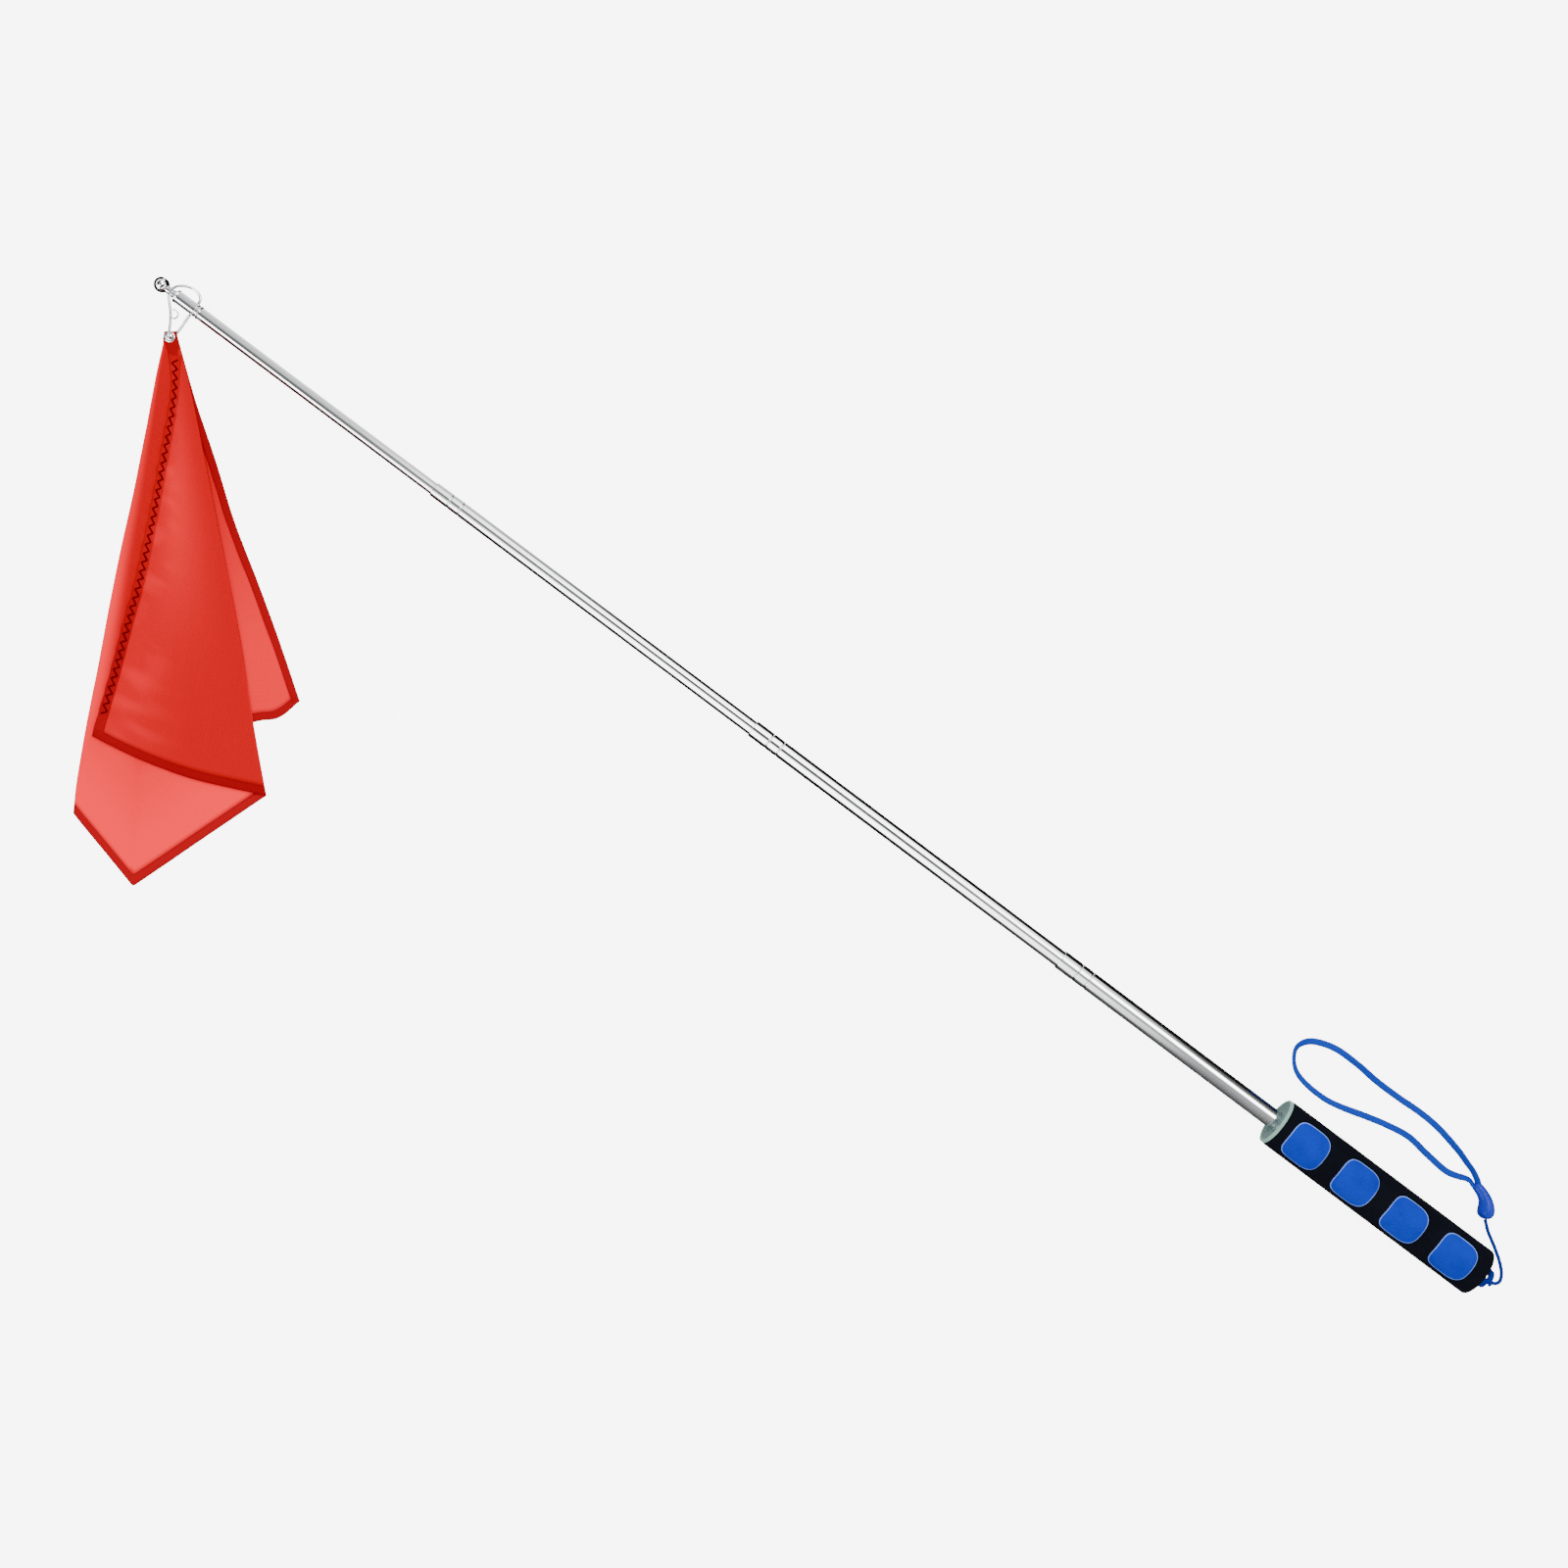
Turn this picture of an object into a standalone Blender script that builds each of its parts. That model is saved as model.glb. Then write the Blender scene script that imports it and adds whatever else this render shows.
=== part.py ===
"""Hand-held telescopic signal flag pole, lying on the floor with its flag laid out beside it.

Metres, +Z up, floor at z = 0. The pole runs along +X from the butt to the tip and tips down a little,
so that the grip's front edge and the tip ball rest on the floor. The flag lies towards +Y.
"""

import math

import bmesh
import bpy
from mathutils import Matrix, Vector

MM = 0.001
SIDES = 24
GRIP_SIDES = 48
ROUND_SIDES = 16
GAP = 0.3 * MM

# Stations along the pole, from the grip's rear end
GRIP_LENGTH = 152.0 * MM
MOUTHS = [313.5 * MM, 545.8 * MM, 787.6 * MM]
HUB_START = 965.8 * MM
HUB_END = 984.3 * MM
BALL_CENTRE = 995.4 * MM

# Grip
GRIP_RADIUS = 15.5 * MM
GRIP_BORE = 6.2 * MM
GRIP_EDGE = 1.2 * MM
FRONT_RING_RADIUS = 15.2 * MM
FRONT_RING_WIDTH = 2.0 * MM
PAD_COUNT = 4
PAD_HALF = 12.6 * MM
PAD_FIRST = 21.9 * MM
PAD_PITCH = 36.4 * MM
PAD_TOP = 15.45 * MM
PAD_FLOOR = 14.0 * MM
PAD_TURN = math.radians(-8.0)
PAD_ROUNDING = 0.26

# Tubes
TUBE_RADII = [6.0 * MM, 5.3 * MM, 4.6 * MM, 3.9 * MM]
WALL = 0.4 * MM
SECTION_1_START = 3.0 * MM
COLLAR = 12.0 * MM
BEAD = 6.7 * MM
GROOVE = 1.4 * MM
GROOVE_DEPTH = 0.2 * MM
GUIDE_GAP = 0.1 * MM
MOUTH_EDGE = 0.4 * MM
MOUTH_EASE = 0.25 * MM
SLEEVE_LENGTH = 8.0 * MM
SLEEVE_WALL = 0.62 * MM
SLEEVE_PROUD = 0.22 * MM
FOOT_LIP = 1.2 * MM
FOOT_WALL = 0.9 * MM
FOOT_NECK_DEPTH = 0.5 * MM

# Tip
HUB_RADIUS = 3.9 * MM
HUB_RING_RADIUS = 4.3 * MM
HUB_SECOND_RING_RADIUS = 4.1 * MM
HUB_WAIST_RADIUS = 3.4 * MM
HUB_FLANGE = 1.1 * MM
HUB_STEP = 0.3 * MM
HUB_SPIGOT = 12.0 * MM
CROSS_HOLE_AT = 970.5 * MM
CROSS_HOLE_RADIUS = 1.0 * MM
NECK_RADIUS = 2.5 * MM
STEM_RADIUS = 1.4 * MM
STEM_DEPTH = 7.0 * MM
BALL_RADIUS = 4.75 * MM
WIRE_RADIUS = 0.6 * MM
WIRE_POINTS = 56

# Butt
PLUG_RADIUS = 5.4 * MM
PLUG_DEPTH = 24.0 * MM
PLUG_FLANGE_RADIUS = 7.6 * MM
PLUG_FLANGE = 2.0 * MM
CORD_HOLE_RADIUS = 1.2 * MM
CAP_RADIUS = 5.2 * MM
CAP_LENGTH = 6.0 * MM
CAP_SHOULDER = 1.5 * MM
CAP_FLAT_RADIUS = 2.4 * MM

# Lanyard
LINK_RADIUS = 0.8 * MM
STRAP_RADIUS = 1.6 * MM
CRIMP_RADIUS = 4.4 * MM

# Flag, as the outline of the folded cloth on the floor
FLAG_THICKNESS = 1.0 * MM
EYELET = Vector((972.8, 22.5, 3.3)) * MM
APEX_RISE_FROM = 60.0 * MM
FLAG_DIRECTION = math.radians(128.0)
EYELET_RADIUS = 3.3 * MM
EYELET_BARREL = 2.3 * MM
EYELET_HOLE = 1.8 * MM
EYELET_PLATE = 0.4 * MM
FLAG_OUTLINE = [
    (976.6, 16.6),
    (967.4, 19.6),
    (776.9, 152.5),
    (791.8, 180.0),
    (758.0, 210.3),
    (790.3, 303.7),
    (845.6, 289.5),
    (975.4, 27.0),
]

# The pole tips down so that it rests on the grip's front edge and on the ball
POLE_REST = GRIP_LENGTH - FRONT_RING_WIDTH - GRIP_EDGE
POLE_TILT = math.asin((GRIP_RADIUS - BALL_RADIUS) / (BALL_CENTRE - POLE_REST))
POLE_HEIGHT = GRIP_RADIUS * math.cos(POLE_TILT) + POLE_REST * math.sin(POLE_TILT)

# The object's own frame has its origin under the middle of its outline, without the lanyard
BUTT_END = -(GAP + PLUG_FLANGE + GAP + CAP_LENGTH)
TIP_END = BALL_CENTRE + BALL_RADIUS
FLAG_FAR = 303.7 * MM
CENTRE = Vector(((BUTT_END + TIP_END) / 2, (FLAG_FAR - GRIP_RADIUS) / 2, 0))


def clear_scene():
    for old in list(bpy.data.objects):
        bpy.data.objects.remove(old, do_unlink=True)


def material(name, colour, roughness, metallic=0.0):
    made = bpy.data.materials.new(name)
    made.use_nodes = True
    shader = made.node_tree.nodes["Principled BSDF"]
    shader.inputs["Base Color"].default_value = (*colour, 1)
    shader.inputs["Roughness"].default_value = roughness
    shader.inputs["Metallic"].default_value = metallic
    return made


def empty(name, parent=None, location=(0, 0, 0), rotation=(0, 0, 0)):
    made = bpy.data.objects.new(name, None)
    bpy.context.scene.collection.objects.link(made)
    made.parent = parent
    made.location = location
    made.rotation_euler = rotation
    return made


def link(name, data, look, parent, location=(0, 0, 0), rotation=(0, 0, 0)):
    made = bpy.data.objects.new(name, data)
    bpy.context.scene.collection.objects.link(made)
    data.materials.append(look)
    made.parent = parent
    made.location = location
    made.rotation_euler = rotation
    return made


def turned_mesh(name, profile, sides=SIDES):
    """A closed profile of (x, radius) points, turned about the X axis."""
    bm = bmesh.new()
    corners = [bm.verts.new((x, 0, radius)) for x, radius in profile]
    edges = [bm.edges.new((a, b)) for a, b in zip(corners, corners[1:] + corners[:1])]
    bmesh.ops.spin(
        bm,
        geom=corners + edges,
        cent=(0, 0, 0),
        axis=(1, 0, 0),
        angle=2 * math.pi,
        steps=sides,
        use_merge=True,
    )
    bmesh.ops.remove_doubles(bm, verts=bm.verts, dist=1e-6)
    bmesh.ops.recalc_face_normals(bm, faces=bm.faces)
    mesh = bpy.data.meshes.new(name)
    bm.to_mesh(mesh)
    bm.free()
    mesh.shade_smooth()
    mesh.set_sharp_from_angle(angle=math.radians(35))
    return mesh


def turned(name, profile, look, parent, sides=SIDES):
    return link(name, turned_mesh(name, profile, sides), look, parent)


def arc(centre, radius, start, end, steps):
    """Points (x, radius) on an arc in the profile plane, angles in degrees from +X towards +radius."""
    angles = [math.radians(start + (end - start) * i / steps) for i in range(steps + 1)]
    return [(centre[0] + radius * math.cos(a), centre[1] + radius * math.sin(a)) for a in angles]


def cut(target, cutter):
    cutter.hide_render = True
    cutter.display_type = "WIRE"
    boolean = target.modifiers.new("cut", "BOOLEAN")
    boolean.operation = "DIFFERENCE"
    boolean.object = cutter


def smooth_route(points, count, closed=False):
    """Evenly stepped points on a Catmull-Rom curve through the given ones."""
    points = [Vector(p) for p in points]
    if closed:
        ring = [points[-1]] + points + points[:2]
    else:
        ring = [2 * points[0] - points[1]] + points + [2 * points[-1] - points[-2]]
    fine = []
    for p0, p1, p2, p3 in zip(ring, ring[1:], ring[2:], ring[3:]):
        for step in range(20):
            t = step / 20
            fine.append(
                0.5
                * (
                    2 * p1
                    + (p2 - p0) * t
                    + (2 * p0 - 5 * p1 + 4 * p2 - p3) * t**2
                    + (3 * p1 - p0 - 3 * p2 + p3) * t**3
                )
            )
    fine.append(points[0] if closed else points[-1])
    lengths = [0.0]
    for a, b in zip(fine, fine[1:]):
        lengths.append(lengths[-1] + (b - a).length)
    stations = count if closed else count - 1
    route = []
    at = 0
    for i in range(count):
        goal = lengths[-1] * i / stations
        while at < len(lengths) - 2 and lengths[at + 1] < goal:
            at += 1
        share = (goal - lengths[at]) / (lengths[at + 1] - lengths[at])
        route.append(fine[at].lerp(fine[at + 1], min(share, 1.0)))
    return route


def tube_curve(name, route, radius, look, parent, closed=False):
    curve = bpy.data.curves.new(name, "CURVE")
    curve.dimensions = "3D"
    curve.bevel_depth = radius
    curve.bevel_resolution = 2
    curve.use_fill_caps = not closed
    spline = curve.splines.new("POLY")
    spline.points.add(len(route) - 1)
    for point, place in zip(spline.points, route):
        point.co = (*place, 1)
    spline.use_cyclic_u = closed
    return link(name, curve, look, parent)


def patch_mesh(name, half, low, high):
    """A rounded square that follows a cylinder about X, from radius low to radius high, centred on +Z."""
    bm = bmesh.new()
    bmesh.ops.create_grid(bm, x_segments=4, y_segments=8, size=1)
    for v in bm.verts:
        u, w = v.co.x, v.co.y
        across = half * w * math.sqrt(1 - PAD_ROUNDING * u * u)
        turn = math.asin(across / GRIP_RADIUS)
        along = half * u * math.sqrt(1 - PAD_ROUNDING * w * w)
        v.co = (along, low * math.sin(turn), low * math.cos(turn))
    top = bmesh.ops.extrude_face_region(bm, geom=bm.faces[:])
    for v in [g for g in top["geom"] if isinstance(g, bmesh.types.BMVert)]:
        v.co.yz = v.co.yz * (high / low)
    bmesh.ops.recalc_face_normals(bm, faces=bm.faces)
    mesh = bpy.data.meshes.new(name)
    bm.to_mesh(mesh)
    bm.free()
    mesh.shade_smooth()
    mesh.set_sharp_from_angle(angle=math.radians(35))
    return mesh


def grip(pole, foam_look, pad_look, ring_look):
    """Black foam sleeve with two rows of pads let into it, and the ring that closes its front end."""
    front = GRIP_LENGTH - FRONT_RING_WIDTH - GAP
    edge = GRIP_EDGE
    rear_round = arc((edge, GRIP_RADIUS - edge), edge, 180, 90, 2)
    front_round = arc((front - edge, GRIP_RADIUS - edge), edge, 90, 0, 2)
    profile = [(0, GRIP_BORE), *rear_round, *front_round, (front, GRIP_BORE)]
    foam = turned("grip_foam", profile, foam_look, pole, sides=GRIP_SIDES)

    pad = patch_mesh("grip_pad", PAD_HALF, PAD_FLOOR + GAP, PAD_TOP)
    pocket = patch_mesh("grip_pocket", PAD_HALF + GAP, PAD_FLOOR, GRIP_RADIUS + 1 * MM)
    for row, turn in (("top", PAD_TURN), ("under", PAD_TURN + math.pi)):
        for i in range(PAD_COUNT):
            place = (PAD_FIRST + PAD_PITCH * i, 0, 0)
            rotation = (turn, 0, 0)
            end = f"{row}_{i + 1}"
            link(f"grip_pad_{end}", pad.copy(), pad_look, pole, place, rotation)
            cutter = link(f"pocket_cutter_{end}", pocket.copy(), pad_look, pole, place, rotation)
            cut(foam, cutter)

    start = GRIP_LENGTH - FRONT_RING_WIDTH
    ring_edge = 0.8 * MM
    rounded = arc((GRIP_LENGTH - ring_edge, FRONT_RING_RADIUS - ring_edge), ring_edge, 90, 0, 2)
    profile = [(start, GRIP_BORE), (start, FRONT_RING_RADIUS), *rounded, (GRIP_LENGTH, GRIP_BORE)]
    turned("grip_front_ring", profile, ring_look, pole)


def tube_profile(index, start, mouth):
    """Outline of one tube: foot, plain wall, bead and collar between rolled grooves, rounded mouth."""
    radius = TUBE_RADII[index]
    bore = radius - WALL
    outer = []
    inner = []
    if index:
        neck_end = start + FOOT_LIP + SLEEVE_LENGTH + 2 * GAP
        foot_bore = radius - FOOT_WALL
        neck = radius - FOOT_NECK_DEPTH
        outer += [
            (start, foot_bore),
            (start, radius),
            (start + FOOT_LIP, radius),
            (start + FOOT_LIP, neck),
            (neck_end, neck),
            (neck_end + WALL, radius),
        ]
        inner += [(neck_end + WALL, foot_bore), (neck_end + 2 * WALL, bore)]
    else:
        outer += [(start, bore), (start, radius)]
    if index < len(MOUTHS):
        collar_back = mouth - COLLAR
        bead_back = collar_back - GROOVE - BEAD
        for groove_front in (bead_back, collar_back):
            back = groove_front - GROOVE
            low = radius - GROOVE_DEPTH
            outer += [(back, radius), (back + 0.3 * GROOVE, low), (back + 0.7 * GROOVE, low)]
            outer += [(groove_front, radius)]
        lip_bore = TUBE_RADII[index + 1] + GUIDE_GAP
        outer += [(mouth - MOUTH_EDGE, radius), (mouth, radius - MOUTH_EASE), (mouth, lip_bore)]
        inner += [(bead_back - 2 * GROOVE, bore), (bead_back - GROOVE, lip_bore)]
    else:
        outer += [(mouth, radius), (mouth, bore)]
    return outer + inner[::-1]


def foot_of(index):
    """Where an inner tube's foot stands when it is drawn right out of the tube around it."""
    stop = MOUTHS[index - 1] - COLLAR - BEAD - 2 * GROOVE - GROOVE
    return stop - GAP - SLEEVE_LENGTH - GAP - FOOT_LIP


def pole_sections(pole, tube_look, brass_look):
    """Four tubes, and the split brass sleeve that runs on the foot of each inner one."""
    starts = [SECTION_1_START] + [foot_of(i) for i in (1, 2, 3)]
    ends = MOUTHS + [HUB_START - GAP]
    for i, (start, end) in enumerate(zip(starts, ends)):
        turned(f"section_{i + 1}_tube", tube_profile(i, start, end), tube_look, pole)
    for i in (1, 2, 3):
        radius = TUBE_RADII[i]
        back = starts[i] + FOOT_LIP + GAP
        high = radius + SLEEVE_PROUD
        low = high - SLEEVE_WALL
        profile = [(back, low), (back, high), (back + SLEEVE_LENGTH, high), (back + SLEEVE_LENGTH, low)]
        turned(f"friction_sleeve_{i + 1}", profile, brass_look, pole)


def tip(pole, steel_look, chrome_look):
    """Ringed hub in the end of the thinnest tube, and the screwed-in neck with its ball."""
    spigot = TUBE_RADII[3] - WALL - GUIDE_GAP
    x = HUB_START
    socket = STEM_RADIUS + GUIDE_GAP
    profile = [
        (x - HUB_SPIGOT, 0),
        (x - HUB_SPIGOT, spigot),
        (x, spigot),
        (x, HUB_RADIUS),
        (x + HUB_STEP, HUB_RING_RADIUS),
        (x + 4.5 * HUB_STEP, HUB_RING_RADIUS),
        (x + 5.5 * HUB_STEP, HUB_WAIST_RADIUS),
        (x + 8 * HUB_STEP, HUB_WAIST_RADIUS),
        (x + 9 * HUB_STEP, HUB_SECOND_RING_RADIUS),
        (x + 10.5 * HUB_STEP, HUB_SECOND_RING_RADIUS),
        (x + 11.5 * HUB_STEP, HUB_RADIUS),
        (HUB_END - HUB_FLANGE - HUB_STEP, HUB_RADIUS),
        (HUB_END - HUB_FLANGE, HUB_RING_RADIUS),
        (HUB_END, HUB_RING_RADIUS),
        (HUB_END, socket),
        (HUB_END - STEM_DEPTH - GAP, socket),
        (HUB_END - STEM_DEPTH - GAP, 0),
    ]
    hub = turned("tip_hub", profile, steel_look, pole)
    hole = bmesh.new()
    bmesh.ops.create_cone(
        hole,
        cap_ends=True,
        segments=12,
        radius1=CROSS_HOLE_RADIUS,
        radius2=CROSS_HOLE_RADIUS,
        depth=4 * HUB_RADIUS,
        matrix=Matrix.Rotation(math.pi / 2, 4, "X"),
    )
    mesh = bpy.data.meshes.new("cross_hole")
    hole.to_mesh(mesh)
    hole.free()
    cut(hub, link("cross_hole_cutter", mesh, steel_look, pole, (CROSS_HOLE_AT, 0, 0)))

    ball_back = BALL_CENTRE - math.sqrt(BALL_RADIUS**2 - NECK_RADIUS**2)
    neck = [
        (HUB_END - STEM_DEPTH, 0),
        (HUB_END - STEM_DEPTH, STEM_RADIUS),
        (HUB_END + GAP, STEM_RADIUS),
        (HUB_END + GAP, NECK_RADIUS),
        (ball_back - GAP, NECK_RADIUS),
        (ball_back - GAP, STEM_RADIUS),
        (BALL_CENTRE, STEM_RADIUS),
        (BALL_CENTRE, 0),
    ]
    turned("finial_neck", neck, chrome_look, pole)
    mouth = 180 - math.degrees(math.asin(NECK_RADIUS / BALL_RADIUS))
    shell = arc((BALL_CENTRE, 0), BALL_RADIUS, mouth, 0, 12)
    shell[-1] = (BALL_CENTRE + BALL_RADIUS, 0)
    bore_end = BALL_CENTRE + GAP
    bored = [(bore_end, 0), (bore_end, socket), (shell[0][0], socket)]
    turned("finial_ball", bored + shell, chrome_look, pole)


def clip_ring(flat, wire_look):
    """Bent wire: through the hub's cross hole, down through the eyelet, and back over the neck."""
    height = POLE_HEIGHT - CROSS_HOLE_AT * math.sin(POLE_TILT)
    hole_x = CROSS_HOLE_AT * math.cos(POLE_TILT)
    route_mm = [
        (0, -4.6, 0),
        (0, 0, 0),
        (0, 4.6, 0),
        (0.4, 9.0, -1.2),
        (0.8, 13.5, -2.9),
        (1.3, 17.5, -3.95),
        (1.9, 20.7, -4.2),
        (2.35, 22.6, -3.6),
        (2.4, 23.0, -1.8),
        (2.6, 22.6, -0.1),
        (3.3, 20.8, 0.9),
        (5.0, 17.5, 1.3),
        (8.6, 11.5, 2.0),
        (12.8, 6.4, 3.1),
        (15.9, 2.6, 3.6),
        (16.6, -1.4, 3.6),
        (15.4, -4.8, 3.2),
        (12.0, -7.8, 2.2),
        (7.6, -9.4, 1.1),
        (3.4, -9.0, 0.4),
        (0.9, -7.2, 0.05),
    ]
    route = [Vector((hole_x, 0, height)) + Vector(p) * MM for p in route_mm]
    wire = smooth_route(route, WIRE_POINTS, closed=True)
    tube_curve("clip_ring", wire, WIRE_RADIUS, wire_look, flat, closed=True)


def flag(flat, cloth_look, wire_look):
    """The folded cloth as one flat plate with its corner raised to the clip, and its two-part eyelet."""
    direction = Vector((math.cos(FLAG_DIRECTION), math.sin(FLAG_DIRECTION), 0))
    corner = Vector((*FLAG_OUTLINE[0], 0)) * MM
    fold = corner + direction * APEX_RISE_FROM
    reach = (fold - EYELET).dot(direction)
    slope = (EYELET.z - FLAG_THICKNESS / 2) / reach

    bm = bmesh.new()
    bm.faces.new([bm.verts.new((x * MM, y * MM, 0)) for x, y in FLAG_OUTLINE])
    whole = bm.verts[:] + bm.edges[:] + bm.faces[:]
    bmesh.ops.bisect_plane(bm, geom=whole, plane_co=fold, plane_no=direction)
    for v in bm.verts:
        before = (fold - v.co).dot(direction)
        v.co.z = max(0.0, before) * slope
    top = bmesh.ops.extrude_face_region(bm, geom=bm.faces[:])
    raised = [g for g in top["geom"] if isinstance(g, bmesh.types.BMVert)]
    bmesh.ops.translate(bm, verts=raised, vec=(0, 0, FLAG_THICKNESS))
    bmesh.ops.triangulate(bm, faces=bm.faces[:])
    bmesh.ops.recalc_face_normals(bm, faces=bm.faces)
    mesh = bpy.data.meshes.new("flag_cloth")
    bm.to_mesh(mesh)
    bm.free()
    cloth = link("flag_cloth", mesh, cloth_look, flat)

    normal = (Vector((0, 0, 1)) + direction * slope).normalized()
    seat = empty("eyelet_seat", flat, EYELET, normal.to_track_quat("X", "Z").to_euler())
    deep = 2 * FLAG_THICKNESS
    hole = EYELET_BARREL + GUIDE_GAP
    punch = [(-deep, 0), (-deep, hole), (deep, hole), (deep, 0)]
    hole_mesh = turned_mesh("eyelet_hole", punch, ROUND_SIDES)
    cut(cloth, link("eyelet_hole_cutter", hole_mesh, cloth_look, seat))

    face = FLAG_THICKNESS / 2 + GUIDE_GAP
    washer_in = face + GUIDE_GAP
    barrel = [
        (-face, EYELET_HOLE),
        (-face, EYELET_BARREL),
        (face, EYELET_BARREL),
        (face, EYELET_RADIUS),
        (face + EYELET_PLATE, EYELET_RADIUS - EYELET_PLATE / 2),
        (face + EYELET_PLATE, EYELET_HOLE),
    ]
    turned("flag_eyelet", barrel, wire_look, seat, sides=ROUND_SIDES)
    washer = [
        (-washer_in, EYELET_HOLE),
        (-washer_in - EYELET_PLATE, EYELET_HOLE),
        (-washer_in - EYELET_PLATE, EYELET_RADIUS - EYELET_PLATE / 2),
        (-washer_in, EYELET_RADIUS),
    ]
    turned("eyelet_washer", washer, wire_look, seat, sides=ROUND_SIDES)


def butt(pole, plastic_look, chrome_look):
    """Plug in the foot of the first tube, and the bright domed cap behind it."""
    flange = -GAP - PLUG_FLANGE
    plug = [
        (PLUG_DEPTH, CORD_HOLE_RADIUS),
        (PLUG_DEPTH, PLUG_RADIUS - 0.6 * MM),
        (PLUG_DEPTH - 0.8 * MM, PLUG_RADIUS),
        (-GAP, PLUG_RADIUS),
        (-GAP, PLUG_FLANGE_RADIUS),
        (flange + 0.6 * MM, PLUG_FLANGE_RADIUS),
        (flange, PLUG_FLANGE_RADIUS - 0.6 * MM),
        (flange, CORD_HOLE_RADIUS),
    ]
    turned("butt_plug", plug, plastic_look, pole)
    base = flange - GAP
    shoulder = base - CAP_SHOULDER
    dome = [
        (shoulder + x * (CAP_LENGTH - CAP_SHOULDER), r * CAP_RADIUS)
        for x, r in arc((0, 0), 1, 90, 150, 4)
    ]
    cap = [(base, CORD_HOLE_RADIUS), (base, CAP_RADIUS), *dome]
    cap += [(BUTT_END, CAP_FLAT_RADIUS), (BUTT_END, CORD_HOLE_RADIUS)]
    turned("butt_cap", cap, chrome_look, pole)


def lanyard(flat, cord_look, crimp_look):
    """Short cord out of the butt cap, the moulded crimp, and the tape loop, all lying on the floor."""
    exit_height = POLE_HEIGHT - BUTT_END * math.sin(POLE_TILT)
    link_mm = [
        (-8.9, 0, 0),
        (-12.0, -0.6, -0.4),
        (-14.6, -3.2, -2.2),
        (-14.8, -7.6, -6.4),
        (-12.0, -12.6, -11.2),
        (-7.0, -17.0, -14.0),
        (-1.0, -20.8, -14.4),
        (4.6, -23.8, -13.4),
        (7.6, -26.1, -12.9),
        (10.6, -28.5, -12.9),
    ]
    route = [Vector((0, 0, exit_height)) + Vector(p) * MM for p in link_mm]
    tube_curve("lanyard_link", smooth_route(route, 26), LINK_RADIUS, cord_look, flat)

    back = Vector((11.0, -28.8, 4.5)) * MM
    front = Vector((28.2, -42.2, 4.5)) * MM
    along = front - back
    seat = empty("crimp_seat", flat, back, along.to_track_quat("X", "Z").to_euler())
    length = along.length
    body = arc((CRIMP_RADIUS, 0), CRIMP_RADIUS, 165, 60, 6)
    profile = [(body[0][0], 0), *body, (0.62 * length, 3.3 * MM), (0.82 * length, 2.5 * MM)]
    profile += [(length, 2.3 * MM), (length, 0)]
    turned("strap_crimp", profile, crimp_look, seat, sides=ROUND_SIDES)

    strap_mm = [
        (29.8, -41.1, 4.5),
        (31.5, -42.0, 4.2),
        (34.8, -41.5, 3.4),
        (40.0, -39.4, 2.3),
        (47.3, -38.0, 1.8),
        (62.3, -39.4, 1.7),
        (76.9, -41.1, 1.7),
        (92.4, -38.7, 1.7),
        (106.8, -34.9, 1.7),
        (119.9, -31.1, 1.7),
        (131.8, -28.8, 1.7),
        (146.2, -29.2, 1.7),
        (156.0, -32.0, 1.7),
        (162.4, -38.2, 1.7),
        (164.2, -45.2, 1.7),
        (158.6, -52.4, 1.7),
        (145.0, -57.2, 1.7),
        (129.0, -57.6, 1.7),
        (112.8, -56.4, 1.7),
        (97.0, -56.4, 1.7),
        (79.3, -57.1, 1.7),
        (64.8, -56.1, 1.7),
        (48.3, -52.6, 1.8),
        (40.0, -50.0, 2.3),
        (33.5, -47.8, 3.4),
        (29.4, -45.4, 4.2),
        (27.6, -44.0, 4.5),
    ]
    route = [Vector(p) * MM for p in strap_mm]
    tube_curve("wrist_strap", smooth_route(route, 42), STRAP_RADIUS, cord_look, flat)


def build():
    clear_scene()
    steel = material("polished_steel", (0.72, 0.73, 0.75), 0.16, 1.0)
    chrome = material("chrome", (0.80, 0.80, 0.82), 0.06, 1.0)
    brass = material("brass", (0.78, 0.60, 0.28), 0.3, 1.0)
    foam = material("black_foam", (0.004, 0.005, 0.008), 0.85)
    blue_foam = material("blue_foam", (0.012, 0.09, 0.48), 0.8)
    teal = material("pale_teal", (0.20, 0.33, 0.31), 0.5)
    plastic = material("black_plastic", (0.01, 0.01, 0.012), 0.4)
    cloth = material("red_cloth", (0.75, 0.02, 0.03), 0.7)
    cord = material("blue_tape", (0.03, 0.15, 0.55), 0.75)
    crimp = material("blue_plastic", (0.015, 0.12, 0.52), 0.4)

    flat = empty("floor_frame", location=-CENTRE)
    pole = empty("pole_axis", flat, (0, 0, POLE_HEIGHT), (0, POLE_TILT, 0))
    grip(pole, foam, blue_foam, teal)
    pole_sections(pole, steel, brass)
    tip(pole, steel, chrome)
    clip_ring(flat, chrome)
    flag(flat, cloth, chrome)
    butt(pole, plastic, chrome)
    lanyard(flat, cord, crimp)


build()
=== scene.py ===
"""Looks of a hand-held telescopic signal flag pole, laid on a pale floor with its flag beside it.

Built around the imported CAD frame, in metres. Each section makes one piece, or one group of like pieces,
in the order that the pole is put together.
"""

import math

import bmesh
import bpy
from mathutils import Matrix, Vector, noise


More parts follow.
